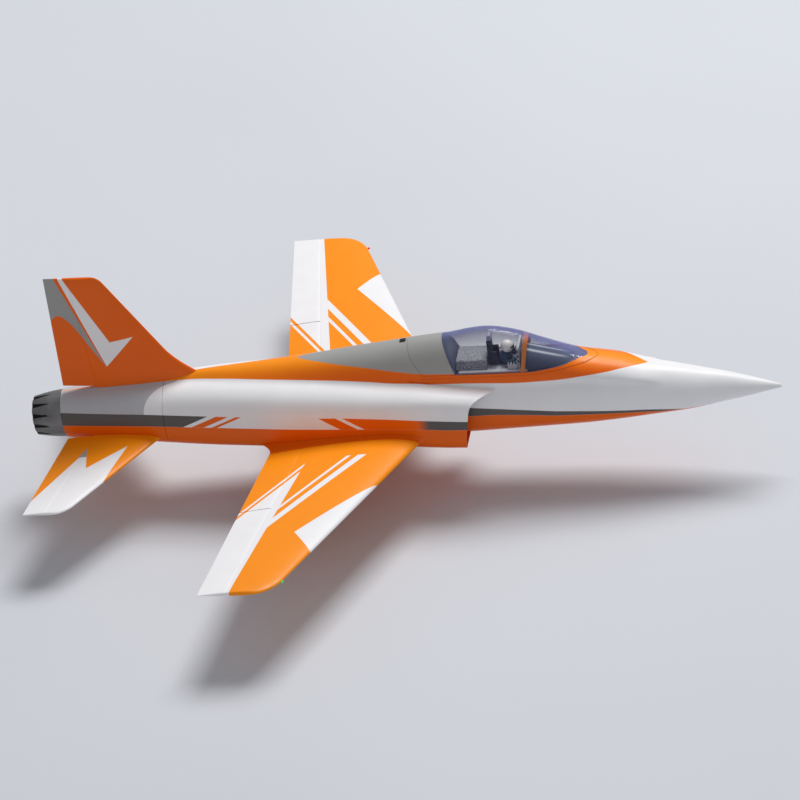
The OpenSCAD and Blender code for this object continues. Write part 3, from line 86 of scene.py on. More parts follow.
BODY = np.array(
    [[LIP_S - 53, BODY_HALF_W, LIP_TOP_H, BELLY_ROUND, 7],
     [LIP_S + 42, BODY_HALF_W, lerp(LIP_TOP_H, SHOULDER_H, 0.36), BELLY_ROUND, 6]]
    + [[NOSE_L + s * AFT_L / 100, lerp(TAIL_R, BODY_HALF_W, w / 100), lerp(TAIL_R, SHOULDER_H, top / 100),
        lerp(TAIL_R, BELLY_ROUND, low / 100), n] for s, w, top, low, n in AFT])

# Canopy and spine, a lobe on top of the body: height of its middle, half width and height
SPINE_FRONT = [
    [31, 53, 72, 19.5], [37, 64, 84, 23.5], [42, 74.5, 92, 29], [47.5, 82.5, 96, 32],
    [53.5, 90.5, 96, 35.5], [58.5, 96, 96, 47.5], [64, 100, 98, 64.5], [69.5, 100, 98, 85],
    [75, 100, 100, 97], [79, 100, 100, 100], [83.5, 100, 100, 96], [88.5, 100, 100, 88],
    [94, 100, 100, 83], [100, 100, 100, 76.5],
]
SPINE_AFT = [
    [5.5, 100, 98, 70], [11.5, 100, 96, 63.5], [20, 93.5, 92, 59], [25, 90.5, 88, 55], [30, 88, 84, 53],
    [37, 85.5, 76, 48], [48, 80, 62, 43], [60, 74.5, 40, 38], [74, 58.5, 28, 30], [88, 40, 20, 32],
    [100, 26.5, 16, 30],
]
SPINE = np.array(
    [[s * NOSE_L / 100, a, b, c] for s, a, b, c in SPINE_FRONT]
    + [[NOSE_L + s * AFT_L / 100, a, b, c] for s, a, b, c in SPINE_AFT]
) * [1, SPINE_Z / 100, SPINE_HALF_W / 100, CANOPY_H / 100]


def at_station(table, s, column):
    """Smooth curve through one column of a table of stations."""
    x, v = table[:, 0], table[:, column]
    n = len(x)
    i = np.clip(np.searchsorted(x, s, "right") - 1, 0, n - 2)
    below, above = np.maximum(np.arange(n) - 1, 0), np.minimum(np.arange(n) + 1, n - 1)
    slope = (v[above] - v[below]) / (x[above] - x[below])
    h = x[i + 1] - x[i]
    u = np.clip((s - x[i]) / h, 0, 1)
    w = 1 - u
    return (v[i] * (1 + 2 * u) * w * w + h * slope[i] * u * w * w
            + v[i + 1] * u * u * (3 - 2 * u) - h * slope[i + 1] * u * u * w)


def skin_r(table, s, th):
    """Radius of a section: a rounded box with the spine or canopy blended on."""
    s, th = np.broadcast_arrays(np.asarray(s, float), np.asarray(th, float))
    c, d = np.cos(th), np.sin(th)
    h = np.where(d >= 0, at_station(table, s, 2), at_station(table, s, 3))
    n = at_station(table, s, 4)
    base = ((np.abs(c) / at_station(table, s, 1)) ** n + (np.abs(d) / h) ** n) ** (-1 / n)
    base = np.where(d < 0, np.minimum(base, BELLY_H / np.maximum(-d, 1e-9)), base)
    zc, ws, hs = (at_station(SPINE, s, k) for k in (1, 2, 3))
    a = (c / ws) ** 2 + (d / hs) ** 2
    b = -2 * d * zc / hs ** 2
    q = b * b - 4 * a * (zc ** 2 / hs ** 2 - 1)
    # A ray that passes beside the lobe still takes a fading share of it, which rounds the crease
    beside = np.exp(np.minimum(CREASE_FADE * q / np.maximum(b * b, 1e-12), 0))
    fade_in = lerp(LOBE_START, 1, np.clip((s - SPINE[0, 0]) / LOBE_FADE_L, 0, 1))
    lobe = (-b * beside + np.sqrt(np.maximum(q, 0))) / (2 * a) * fade_in
    lobe = np.where((d > 0) & (s >= SPINE[0, 0]), np.maximum(lobe, 0), 0)
    return (base ** BLEND + lobe ** BLEND) ** (1 / BLEND)


def skin(table, s, th, inset=0.0):
    """Points on the skin, or inset from it."""
    s, th = np.broadcast_arrays(np.asarray(s, float), np.asarray(th, float))
    r = skin_r(table, s, th) - inset
    return np.stack([NOSE_X - s, r * np.cos(th), r * np.sin(th)], -1)


def halving(test, lo, hi, steps=30):
    """Where test(value) turns from true to false between lo and hi, for whole arrays."""
    for _ in range(steps):
        mid = (lo + hi) / 2
        true = test(mid)
        lo, hi = np.where(true, mid, lo), np.where(true, hi, mid)
    return lo


def angle_at_z(s, z, inset=0.0):
    s = np.asarray(s, float)
    return halving(lambda th: (skin_r(CORE, s, th) - inset) * np.sin(th) < z, s * 0, s * 0 + TOP)


def roof_z(s, y):
    s = np.asarray(s, float)
    th = halving(lambda a: skin_r(BODY, s, a) * np.cos(a) > y, s * 0, s * 0 + TOP)
    return skin_r(BODY, s, th) * np.sin(th)


def side_y(s, z):
    h = np.where(z >= 0, at_station(BODY, s, 2), at_station(BODY, s, 3))
    n = at_station(BODY, s, 4)
    return at_station(BODY, s, 1) * np.maximum(0, 1 - (np.abs(z) / h) ** n) ** (1 / n)


def seam_z(s):
    return HATCH_Z + HATCH_RISE * np.clip(HATCH_RISE_S - np.asarray(s, float), 0, HATCH_RISE_L)


def round_front(s, angle, tip_s, length):
    """Draws an edge in to the top line, so that it closes in a round front at tip_s."""
    u = np.clip((tip_s + length - np.asarray(s, float)) / length, 0, BLUNT_TIP)
    return TOP - (TOP - angle) * np.sqrt(1 - u ** 3)


def hatch_edge(s, gap=0.0):
    """Angle of the hatch seam, or of a line beside it."""
    return round_front(s, angle_at_z(s, seam_z(s) + gap), HATCH_TIP_S, HATCH_ROUND)


def rear_seam(th):
    """Station of the rear seam of the hatch, which leans forward toward its lower ends."""
    top, low = skin_r(CORE, NOSE_L, TOP), HATCH_Z + RAIL_H
    share = np.clip((top - skin(CORE, NOSE_L, th)[..., 2]) / (top - low), 0, 1)
    return NOSE_L - HATCH_REAR_LEAN * share ** HATCH_REAR_BEND


def front_rows(tip_s, length, n):
    """Stations that crowd toward a round front."""
    return tip_s + length * (1 - np.cos(spread(0, TOP, n)))


HATCH_END_S = NOSE_L - HATCH_REAR_LEAN
TAIL_MID_Z = (at_station(BODY, TAIL_S, 2) - TAIL_R) / 2
NOZZLE_AXIS_Z = TAIL_MID_Z - NOZZLE_L * math.sin(NOZZLE_CANT)


# Meshes: solids are pairs of points and faces
def shell(outer, inner, keep=None, wrap=False):
    """Closed wall between two matching grids, with rims round every hole that keep leaves."""
    m, n = outer.shape[:2]
    spans = n if wrap else n - 1
    keep = np.ones((m - 1, spans), bool) if keep is None else keep

    def at(p, side):
        return side * m * n + p[0] * n + p[1] % n

    def kept(i, j):
        j = j % spans if wrap else j
        return 0 <= i < m - 1 and 0 <= j < spans and keep[i, j]

    faces = []
    for i, j in np.argwhere(keep):
        a, b, c, d = (i, j), (i + 1, j), (i + 1, j + 1), (i, j + 1)
        faces.append([at(p, 0) for p in (a, b, c, d)])
        faces.append([at(p, 1) for p in (d, c, b, a)])
        edges = [(a, b, i, j - 1), (b, c, i + 1, j), (c, d, i, j + 1), (d, a, i - 1, j)]
        faces += [[at(q, 0), at(p, 0), at(p, 1), at(q, 1)] for p, q, k, l in edges if not kept(k, l)]
    return np.concatenate([outer.reshape(-1, 3), inner.reshape(-1, 3)]), faces


def loft(rings):
    """Closed solid through rings of points."""
    rings = np.asarray(rings, float)
    m, n = rings.shape[:2]
    faces = [[i * n + j, (i + 1) * n + j, (i + 1) * n + (j + 1) % n, i * n + (j + 1) % n]
             for i in range(m - 1) for j in range(n)]
    return rings.reshape(-1, 3), faces + [list(range(n)), list(range((m - 1) * n, m * n))]


def new_object(name, points, faces, material, sharp=40):
    p = np.array(points, float).reshape(-1, 3)
    mesh = bpy.data.meshes.new(name)
    mesh.from_pydata(((p + [0, 0, BELLY_H]) * MM).tolist(), [], [[int(k) for k in f] for f in faces])
    bm = bmesh.new()
    bm.from_mesh(mesh)
    bmesh.ops.remove_doubles(bm, verts=bm.verts, dist=5e-6)
    bmesh.ops.dissolve_degenerate(bm, edges=bm.edges, dist=1e-6)
    bmesh.ops.delete(bm, geom=[v for v in bm.verts if not v.link_faces], context="VERTS")
    bmesh.ops.recalc_face_normals(bm, faces=bm.faces)
    bm.to_mesh(mesh)
    bm.free()
    smooth(mesh, sharp)
    obj = bpy.data.objects.new(name, mesh)
    bpy.context.scene.collection.objects.link(obj)
    mesh.materials.append(material)
    return obj


def smooth(mesh, sharp):
    mesh.polygons.foreach_set("use_smooth", [True] * len(mesh.polygons))
    mesh.set_sharp_from_angle(angle=math.radians(sharp))


def add_bevel(obj, width):
    bevel = obj.modifiers.new("soft_edges", "BEVEL")
    bevel.width = width * MM
    bevel.segments = 2
    bevel.limit_method = "ANGLE"
    bevel.angle_limit = math.radians(50)
    bevel.harden_normals = True


def piece(name, solid, material, stands_for=(), body="airframe", sharp=40, bevel=0.0, cutters=()):
    """A visible piece that rides on a body and may stand for CAD nodes."""
    obj = new_object(name, *solid, material, sharp)
    if cutters:
        cut(obj, cutters, sharp)
    if bevel:
        add_bevel(obj, bevel)
    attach(obj, body)
    if stands_for:
        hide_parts(*stands_for)


def cut(obj, cutters, sharp):
    """Takes closed solids out of obj."""
    tools = []
    for k, solid in enumerate(cutters):
        tool = new_object(f"cutter_{k}", *solid, obj.data.materials[0])
        hole = obj.modifiers.new(tool.name, "BOOLEAN")
        hole.operation, hole.solver, hole.object = "DIFFERENCE", "EXACT", tool
        tools.append(tool)
    mesh = bpy.data.meshes.new_from_object(obj.evaluated_get(bpy.context.evaluated_depsgraph_get()))
    obj.modifiers.clear()
    obj.data = mesh
    smooth(mesh, sharp)
    for tool in tools:
        bpy.data.objects.remove(tool)


def box(low, high):
    (x0, y0, z0), (x1, y1, z1) = low, high
    ring = [(x0, y0), (x1, y0), (x1, y1), (x0, y1)]
    return loft([[(x, y, z) for x, y in ring] for z in (z0, z1)])


def disc(centre, r, z0, z1, sides=64):
    a = around(sides)
    ring = np.stack([centre[0] + r * np.cos(a), centre[1] + r * np.sin(a)], -1)
    return loft([np.column_stack([ring, np.full(sides, z)]) for z in (z0, z1)])


def mirrored(points, faces):
    return np.asarray(points).reshape(-1, 3) * [1, -1, 1], faces


# Materials
def rgb(r, g, b):
    """Colour written as 0 to 255 display values."""
    share = np.array([r, g, b]) / 255
    linear = np.where(share <= 0.04045, share / 12.92, ((share + 0.055) / 1.055) ** 2.4)
    return (*linear.tolist(), 1)


# The last colour here is the orange paint drawn lighter and yellower, as it looks in full sun: painted
# light, not a paint of its own.
WHITE, ORANGE, SUNLIT_ORANGE = rgb(240, 239, 240), rgb(240, 102, 0), rgb(253, 146, 8)
GREY, PALE_GREY, DARK = rgb(160, 160, 157), rgb(188, 188, 192), rgb(94, 90, 88)


class Look:
    """A Principled material, with helpers that build its nodes on rest-frame places in millimetres."""

    def __init__(self, name, roughness=0.4, metallic=0.0, **constants):
        self.material = bpy.data.materials.new(name)
        self.material.use_nodes = True
        self.tree = self.material.node_tree
        self.shader = self.tree.nodes["Principled BSDF"]
        self.set(Roughness=roughness, Metallic=metallic, **constants)
        self.place = self.scaled(self.node("ShaderNodeTexCoord").outputs["Object"], 1 / MM)
        parts = self.node("ShaderNodeSeparateXYZ", {0: self.place})
        self.x, self.y = parts.outputs[0], parts.outputs[1]
        self.span = self.math("ABSOLUTE", self.y)
        self.z = self.sub(parts.outputs[2], BELLY_H)

    def node(self, kind, inputs=None, **settings):
        """A new node; each input is a value or the socket that feeds it."""
        made = self.tree.nodes.new(kind)
        for key, value in settings.items():
            setattr(made, key, value)
        for key, value in (inputs or {}).items():
            self.link(value, made.inputs[key])
        return made

    def link(self, source, socket):
        if isinstance(source, bpy.types.NodeSocket):
            self.tree.links.new(source, socket)
        else:
            socket.default_value = source

    def set(self, **sockets):
        for key, value in sockets.items():
            self.link(value, self.shader.inputs[key.replace("_", " ")])

    def math(self, operation, a, b=0.0, c=0.0):
        return self.node("ShaderNodeMath", {0: a, 1: b, 2: c}, operation=operation).outputs[0]

    def add(self, a, b):
        return self.math("ADD", a, b)

    def sub(self, a, b):
        return self.math("SUBTRACT", a, b)

    def mul(self, a, b):
        return self.math("MULTIPLY", a, b)

    def scaled(self, vector, share):
        inputs = {0: vector, "Scale": share}
        return self.node("ShaderNodeVectorMath", inputs, operation="SCALE").outputs[0]

    def remap(self, value, a, b, c, d, kind="LINEAR"):
        inputs = dict(enumerate((value, a, b, c, d)))
        return self.node("ShaderNodeMapRange", inputs, interpolation_type=kind).outputs[0]

    def ramp(self, value, start, end):
        """0 before start, 1 after end and a soft rise between."""
        return self.remap(value, start, end, 0, 1, "SMOOTHSTEP")

    def past(self, a, b, soft=0.5):
        """1 where a is greater than b, else 0."""
        return self.ramp(self.sub(a, b), -soft, soft)

    def between(self, value, low, high):
        return self.mul(self.past(value, low), self.past(high, value))

    def curve(self, value, points):
        """Smooth line through points given as (value, result)."""
        (x0, y0), (x1, y1) = np.min(points, 0), np.max(points, 0)
        made = self.node("ShaderNodeFloatCurve", {"Value": self.remap(value, x0, x1, 0, 1)})
        line = made.mapping.curves[0]
        for _ in points[2:]:
            line.points.new(0.5, 0.5)
        for knot, (a, b) in zip(line.points, sorted(points)):
            knot.location = ((a - x0) / (x1 - x0), (b - y0) / (y1 - y0))
            knot.handle_type = "AUTO_CLAMPED"
        made.mapping.update()
        return self.remap(made.outputs[0], 0, 1, y0, y1)

    def along(self, u, v, start, end):
        """Distance to the left of the line from start to end, in the plane of u and v."""
        (a, b), (c, d) = start, end
        length = math.hypot(c - a, d - b)
        p = self.math("MULTIPLY_ADD", u, (b - d) / length, (a * d - b * c) / length)
        return self.math("MULTIPLY_ADD", v, (c - a) / length, p)

    def inside(self, u, v, corners):
        """1 inside a convex outline that runs anticlockwise."""
        lines = [self.along(u, v, a, b) for a, b in zip(corners, corners[1:] + corners[:1])]
        nearest = lines[0]
        for line in lines[1:]:
            nearest = self.math("MINIMUM", nearest, line)
        return self.past(nearest, 0)

    def mix(self, share, a, b):
        return self.node("ShaderNodeMix", {0: share, 6: a, 7: b}, data_type="RGBA").outputs[2]

    def noise(self, scale, detail, rough=0.5):
        inputs = {"Vector": self.place, "Scale": scale, "Detail": detail, "Roughness": rough}
        return self.node("ShaderNodeTexNoise", inputs).outputs[0]

    def vary(self, colour, scale, amount):
        """Colour lightened and darkened by a soft noise."""
        spots = self.remap(self.noise(scale, 3), 0.3, 0.7, 1 - amount, 1 + amount)
        return self.scaled(colour[:3] if isinstance(colour, tuple) else colour, spots)

    def bump(self, height, strength, distance):
        inputs = {"Strength": strength, "Distance": distance * MM, "Height": height}
        self.set(Normal=self.node("ShaderNodeBump", inputs).outputs[0])

    def finish(self, colour, grain=0.3, spot=0.02, patch=0.04, depth=0.05, rough=(0.3, 0.42)):
        """Colour with a slight mottle, a fine surface grain and an uneven gloss."""
        self.set(Base_Color=self.vary(colour, spot, patch),
                 Roughness=self.remap(self.noise(spot * 2, 4), 0.3, 0.7, *rough))
        self.bump(self.noise(grain, 3), 0.35, depth)
        return self.material


def painted(name, colour):
    look = Look(name, Coat_Weight=0.08, Coat_Roughness=0.15, Specular_IOR_Level=0.22)
    return look.finish(colour(look), grain=0.22, patch=0.015, depth=0.06, rough=(0.36, 0.48))


def plain(name, colour, rough, metallic=0.0, **texture):
    """A finish of one colour, written as 0 to 255 display values."""
    return Look(name, metallic=metallic).finish(rgb(*colour), rough=rough, **texture)


def body_colour(k, raised=0.0):
    """Body paint: orange top and belly, grey spine and tail, white sides with a stripe; toward the top the
    orange has painted sunlight, drawn lighter and yellower.

    The stripe and the belly's edge start the given height higher ahead of the intakes.
    """
    angle = k.mul(k.math("ARCTAN2", k.z, k.span), 180 / math.pi)
    top = k.curve(k.x, [(-705, 89), (-635, 88), (-531, 82), (-435, 79), (-370, 74.5), (-285, 68.5),
                        (-200, 64), (-117, 60.3), (-55, 57.5), (7, 54.6), (89, 53.5), (160, 53), (232, 52),
                        (294, 53), (335, 54.3), (376, 56.6), (417, 60.5), (456, 68), (485, 78), (512, 91)])
    spine = k.curve(k.x, [(-214, 91), (-190, 85), (-158, 80), (-115, 74.4), (-73, 70.5), (-32, 67.3),
                          (9, 64.5), (40, 62.8), (126, 61.6), (132, 91)])
    tail = k.curve(angle, [(29, -532), (40, -529), (52, -521), (63, -508), (73, -488), (79, -462),
                           (90, -435)])
    low = k.curve(k.x, [(-700, 1), (-100, 0), (3, -3), (65, -5.5), (137, -9), (205, -6), (327, -8.6),
                        (408, -10.7), (489, -15), (560, -20.5), (650, -22), (775, -4)])
    stripe = k.curve(k.x, [(-113, 27), (-34, 23.4), (47, 17.2), (139, 10.7), (206, 8), (328, 2), (409, -3),
                           (510, -10.4), (580, -21)])
    rise = k.remap(k.x, 150, 320, raised, 0)
    low, stripe = k.add(low, rise), k.add(stripe, rise)
    colour = k.mix(k.past(tail, k.x), WHITE, PALE_GREY)
    # Painted light: the orange turns to the lighter, sunlit orange toward the top.
    orange = k.mix(k.ramp(angle, 60, 88), ORANGE, SUNLIT_ORANGE)
    colour = k.mix(k.past(angle, top, 0.4), colour, orange)
    colour = k.mix(k.past(angle, spine, 0.4), colour, GREY)

    # Side stripe: dark near the intake, orange behind it, ending in two plain slanted bars
    lean = k.math("MULTIPLY_ADD", k.z, 1.6, k.sub(k.x, 27 * 1.6))
    above_belly = k.past(k.z, low)
    band = k.mul(k.past(stripe, k.z), above_belly)
    bars = k.math("MAXIMUM", k.past(lean, -113), k.between(lean, -163, -127))
    colour = k.mix(k.mul(band, bars), colour, k.mix(k.ramp(k.x, 38, 68), ORANGE, DARK))

    # Dark stripe on the tail, with slanted bars ahead of it
    rake = k.math("MULTIPLY_ADD", k.z, -2.07, k.add(k.x, 28.5 * 2.07 + 395))
    band = k.mul(k.past(27.5, k.z), above_belly)
    colour = k.mix(k.mul(band, k.past(0, rake)), colour, DARK)
    for start, end in ((18, 44), (60, 72)):
        colour = k.mix(k.mul(band, k.between(rake, start, end)), colour, ORANGE)
    return k.mix(above_belly, ORANGE, colour)


def wing_colour(k):
    """Wing paint: orange with a white rear panel, a white leading edge and plain slanted stripes; the
    orange is drawn lighter and yellower as painted sunlight.
    """
    x, y = k.x, k.span
    panel_out, panel_in = (-275, 700), (-190, 211)
    # The wing's orange is the lighter, sunlit orange: painted light.
    colour = k.mix(k.inside(x, y, [panel_in, panel_out, (-420, 700), (-420, 551)]), SUNLIT_ORANGE, WHITE)
    slant = k.math("MULTIPLY_ADD", x, 1.48, y)
    ahead = k.past(k.along(x, y, panel_out, panel_in), 0)
    outboard = k.past(y, 170)
    for start, end, share in ((-92, -82, k.sub(1, ahead)), (24, 36, ahead), (58, 84, ahead)):
        bar = k.mul(k.mul(k.between(slant, start, end), share), outboard)
        colour = k.mix(bar, colour, WHITE)
    colour = k.mix(k.inside(x, y, [(20, 215), (90, 300), (-90, 560), (-165, 445)]), colour, WHITE)
    return k.mix(k.inside(x, y, [(-184, 190), (-240, 470), (-264, 610)]), colour, GREY)


def stab_colour(k):
    """Tailplane paint: orange root and edges, a white outer panel and an orange wedge between; the orange
    is drawn lighter and yellower as painted sunlight.
    """
    x, y = k.x, k.span
    notch = (-644, 167)
    # The tailplane's orange is the lighter, sunlit orange: painted light.
    colour = k.mix(k.inside(x, y, [(-653, 106), notch, (-620, 330), (-779, 330)]), SUNLIT_ORANGE, WHITE)
    outer = k.inside(x, y, [(-568, 97), (-602, 210), (-640, 330), (-700, 330), notch])
    colour = k.mix(outer, colour, WHITE)
    return k.mix(k.inside(x, y, [(-654, 97), (-650, 127), (-668, 127)]), colour, GREY)


def fin_colour(k):
    """Fin paint: orange with a grey rear wedge and a plain white stripe."""
    low = k.curve(k.x, [(-706, 226), (-690, 238), (-673, 228), (-652, 198), (-633, 162), (-607, 115)])
    behind = k.past(k.along(k.x, k.z, (-607, 115), (-685, 328)), 0)
    colour = k.mix(k.mul(k.past(k.z, low), behind), ORANGE, GREY)
    stripe = k.inside(k.x, k.z, [(-677, 330), (-605, 114), (-586, 165), (-668, 330)])
    head = k.inside(k.x, k.z, [(-605, 114), (-540, 184), (-612, 168)])
    return k.mix(k.math("MAXIMUM", stripe, head), colour, WHITE)


def glass():
    """Thin smoked glass: clear when looked through squarely, a violet sheen at a slant."""
    look = Look("canopy_glass", roughness=0.06, IOR=1.49, Specular_IOR_Level=0.35, Coat_Weight=0.2,
                Coat_Roughness=0.03)
    facing = look.node("ShaderNodeLayerWeight", {"Blend": 0.5}).outputs["Facing"]
    slant = look.curve(facing, [(0, 0.06), (0.15, 0.09), (0.32, 0.3), (0.5, 0.5), (0.75, 0.72), (1, 0.9)])
    look.set(Base_Color=look.vary(rgb(118, 121, 170), 0.01, 0.05), Alpha=slant)
    return look.material


def lens():
    """Navigation lights: green to starboard and red to port."""
    look = Look("light_lens", roughness=0.15)
    colour = look.mix(look.past(look.y, 0, 5), rgb(20, 215, 80), rgb(225, 25, 18))
    look.set(Emission_Color=colour, Emission_Strength=0.35)
    return look.finish(colour, rough=(0.1, 0.2), depth=0.02)


def nozzle_metal():
    """Metal, lighter at the front and darker toward the exit, with painted shade in the gaps between the
    petals.
    """
    look = Look("nozzle_metal", metallic=0.7)
    front, rear = NOSE_X - TAIL_S, NOSE_X - TAIL_S - NOZZLE_L
    turn = look.math("ARCTAN2", look.sub(look.z, NOZZLE_AXIS_Z), look.y)
    phase = look.math("PINGPONG", look.mul(turn, PETALS / TURN), 0.5)
    back = look.remap(look.x, front - PETAL_START * NOZZLE_L, rear, 0, 1)
    # Painted shade: the gaps between the petals are drawn near black.
    gap = look.past(look.mul(back, PETAL_NOTCH), phase, 0.02)
    colour = look.mix(gap, rgb(126, 124, 124), rgb(26, 25, 26))
    # Lighter at the front and darker toward the exit.
    darker_aft = look.scaled(colour, look.remap(look.x, front, rear, 1.15, 0.7))
    return look.finish(darker_aft, spot=0.05, patch=0.12, rough=(0.32, 0.46))


def speckled(name, colour, other):
    """Moulded foam with a coarse light and dark grain."""
    look = Look(name)
    grain = look.remap(look.noise(0.45, 2, 0.6), 0.42, 0.58, 0, 1)
    look.set(Base_Color=look.mix(grain, colour, other), Roughness=look.remap(grain, 0, 1, 0.55, 0.75))
    look.bump(grain, 0.6, 0.6)
    return look.material


def hood_slate():
    """Hood in front of the panel: slate with a painted highlight, a soft light strip beside the middle."""
    look = Look("panel_hood", Specular_IOR_Level=0.2)
    # Painted highlight: a soft light strip along the hood, beside the middle.
    strip = look.past(2.5, look.math("ABSOLUTE", look.sub(look.span, 10)), 3)
    length = look.curve(look.x, [(255, 0), (275, 1), (320, 0.9), (355, 0)])
    colour = look.mix(look.mul(strip, length), rgb(76, 86, 104), rgb(200, 204, 212))
    return look.finish(colour, rough=(0.55, 0.7))


def dress(material, *nodes):
    """Puts a material on CAD nodes that stay visible."""
    for node in nodes:
        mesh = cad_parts[node].data
        mesh.materials.clear()
        mesh.materials.append(material)


BODY_PAINT, WING_PAINT = painted("body_paint", body_colour), painted("wing_paint", wing_colour)
FORWARD_PAINT = painted("forward_paint", lambda k: body_colour(k, raised=8))
STAB_PAINT, FIN_PAINT = painted("stab_paint", stab_colour), painted("fin_paint", fin_colour)
# The bow has the lighter, sunlit orange: painted light.
BOW_PAINT = painted("bow_paint", lambda k: SUNLIT_ORANGE)
GLASS, NOZZLE, COAMING = glass(), nozzle_metal(), hood_slate()
SPARKLE = speckled("box_foam", rgb(96, 98, 104), rgb(178, 180, 186))
SILL = plain("cockpit_grey", (196, 197, 200), (0.5, 0.65), grain=0.5, depth=0.15)
LILAC = plain("lilac_foam", (160, 158, 184), (0.5, 0.7), grain=0.4, depth=0.2)
SLATE = plain("slate_foam", (92, 100, 120), (0.5, 0.65), grain=0.4, depth=0.15)
SCREEN = plain("dark_screen", (34, 38, 48), (0.12, 0.25), depth=0.02)
SEAT = plain("seat_black", (26, 26, 30), (0.5, 0.7), grain=0.6, depth=0.2)
SUIT = plain("flight_suit", (52, 72, 88), (0.8, 0.95), grain=0.8, depth=0.35, patch=0.12)
HELMET = plain("helmet_white", (232, 230, 228), (0.2, 0.32))
STRAP = plain("strap_weave", (24, 24, 25), (0.8, 0.95), grain=1.2, depth=0.3)

dress(plain("steel", (190, 190, 192), (0.22, 0.34), 1.0, grain=2), "hinge_rods")
dress(plain("black_plastic", (30, 30, 32), (0.4, 0.6), depth=0.08),
      "servos", "receiver", "nose_retract", "main_retracts", "hatch_latch")
dress(plain("alloy", (175, 177, 180), (0.3, 0.45), 1.0, grain=1),
      "thrust_tube", "nose_leg", "nose_fork", "main_leg_left", "main_leg_right")
dress(plain("rubber", (32, 31, 31), (0.7, 0.9), grain=1.5, depth=0.2),
      "nose_tyre", "main_tyre_left", "main_tyre_right")
dress(plain("hub_plastic", (225, 225, 222), (0.35, 0.5)), "nose_hub", "main_hub_left", "main_hub_right")
dress(plain("duct_plastic", (205, 205, 205), (0.4, 0.55)), "inlet_ducts")
dress(plain("fan_plastic", (40, 40, 42), (0.35, 0.5)), "fan_housing", "fan_rotor")
dress(plain("motor_alloy", (165, 120, 40), (0.25, 0.4), 1.0, grain=1), "fan_motor")
dress(plain("carbon_tube", (38, 38, 40), (0.3, 0.5), grain=0.8, depth=0.1), "wing_spar")
dress(plain("plywood", (200, 165, 115), (0.6, 0.8), spot=0.06, patch=0.14, depth=0.1), "battery_tray")
dress(plain("battery_wrap", (45, 80, 135), (0.2, 0.4), depth=0.2, grain=0.08), "battery")
dress(plain("controller_case", (45, 70, 130), (0.35, 0.5), 0.6), "speed_controller")
dress(STRAP, "battery_straps")
dress(lens(), "nav_lights")
dress(painted("orange_paint", lambda k: ORANGE), "nose_door")
# The doors take the wing's paint, whose orange is painted sunlit.
dress(WING_PAINT, "main_doors_left", "main_doors_right")


# Body skins; the blunt nose tip is written as (station, share of the radius)
NOSE_TIP = [(0, 0.05), (0.4, 0.5), (1.2, 0.78), (2.4, 0.92), (4.5, 1)]
NOSE_WHEEL_R, WELL_GAP, NOSE_WELL_HALF_W, NOSE_SLOT_HALF_W = 29.0, 4.0, 23.0, 16.5
NOSE_PIVOT_S, NOSE_LEG_L, NOSE_LEG_TILT = 430.0, 118.0, math.radians(7)
NOSE_AXLE_S = NOSE_PIVOT_S + NOSE_LEG_L * math.cos(NOSE_LEG_TILT)
NOSE_SLOT_S = NOSE_PIVOT_S - 20
NOSE_WELL_S = (NOSE_AXLE_S - NOSE_WHEEL_R - WELL_GAP, NOSE_AXLE_S + NOSE_WHEEL_R + WELL_GAP)
LOW_SIDE_ANGLE, SHOULDER_ANGLE = -0.45, 0.75


def forward_skin():
    """Nose and cockpit section in one, open under the hatch and at the nose wheel."""
    tip_s, tip_share = zip(*NOSE_TIP)
    s = np.unique(np.r_[tip_s, 8, 14, 22, spread(32, NOSE_CONE_L, 42),
                        spread(NOSE_CONE_L, NOSE_L - SEAM / 2, 40),
                        front_rows(HATCH_TIP_S, HATCH_ROUND, 16), NOSE_SLOT_S, NOSE_WELL_S])[:, None]

    def floor_angle(half_w):
        w, h, n = (at_station(CORE, s, c) for c in (1, 3, 4))
        y = np.minimum(half_w, half_w * w / CORE_HALF_W * 1.3)
        return np.arctan2(np.maximum(-h * (1 - (y / w) ** n) ** (1 / n), -BELLY_H), y)

    n_slot, n_well, n_roof = 4, 3, 10
    level = s * 0
    rim = hatch_edge(np.maximum(s, HATCH_TIP_S), -HATCH_GAP / 2)
    knots = [(level - TOP, n_slot), (floor_angle(NOSE_SLOT_HALF_W), n_well),
             (floor_angle(NOSE_WELL_HALF_W), 8), (level + LOW_SIDE_ANGLE, 18),
             (level + SHOULDER_ANGLE, 12), (rim, n_roof)]
    ends = [angle for angle, _ in knots[1:]] + [level + TOP]
    half = np.concatenate([lerp(a, b, np.arange(n) / n) for (a, n), b in zip(knots, ends)], 1)
    angles = np.concatenate([half, level + TOP, math.pi - half[:, :0:-1]], 1)
    from_top = np.abs(np.arange(angles.shape[1]) + 0.5 - half.shape[1])
    from_keel = half.shape[1] - from_top
    mid = (s[:-1] + s[1:]) / 2
    keep = ~((mid > HATCH_TIP_S) & (from_top < n_roof))
    keep &= ~((mid > NOSE_SLOT_S) & (mid < NOSE_AXLE_S) & (from_keel < n_slot))
    keep &= ~((mid > NOSE_WELL_S[0]) & (mid < NOSE_WELL_S[1]) & (from_keel < n_slot + n_well))
    outer = skin(CORE, s, angles)
    outer[..., 1:] *= np.interp(s, tip_s, tip_share)[..., None]
    deep = np.maximum(s, 26 + s / 10)
    inner = skin(CORE, deep, angles, np.minimum(WALL, at_station(CORE, deep, 3) / 2))
    points, faces = shell(outer, inner, keep, wrap=True)

    # The nose is closed by two caps in place of the rim between its outer and inner tips
    n, first_inner = angles.shape[1], len(points) // 2
    front = {frozenset((j, (j + 1) % n)) for j in range(n)}
    faces = [f for f in faces if frozenset(f[:2]) not in front or f[2] < first_inner]
    faces += [list(range(n)), [first_inner + j for j in range(n)]]
    piece("forward_skin", (points, faces), FORWARD_PAINT, ("nose_cone", "front_fuselage"),
          bevel=0.5)


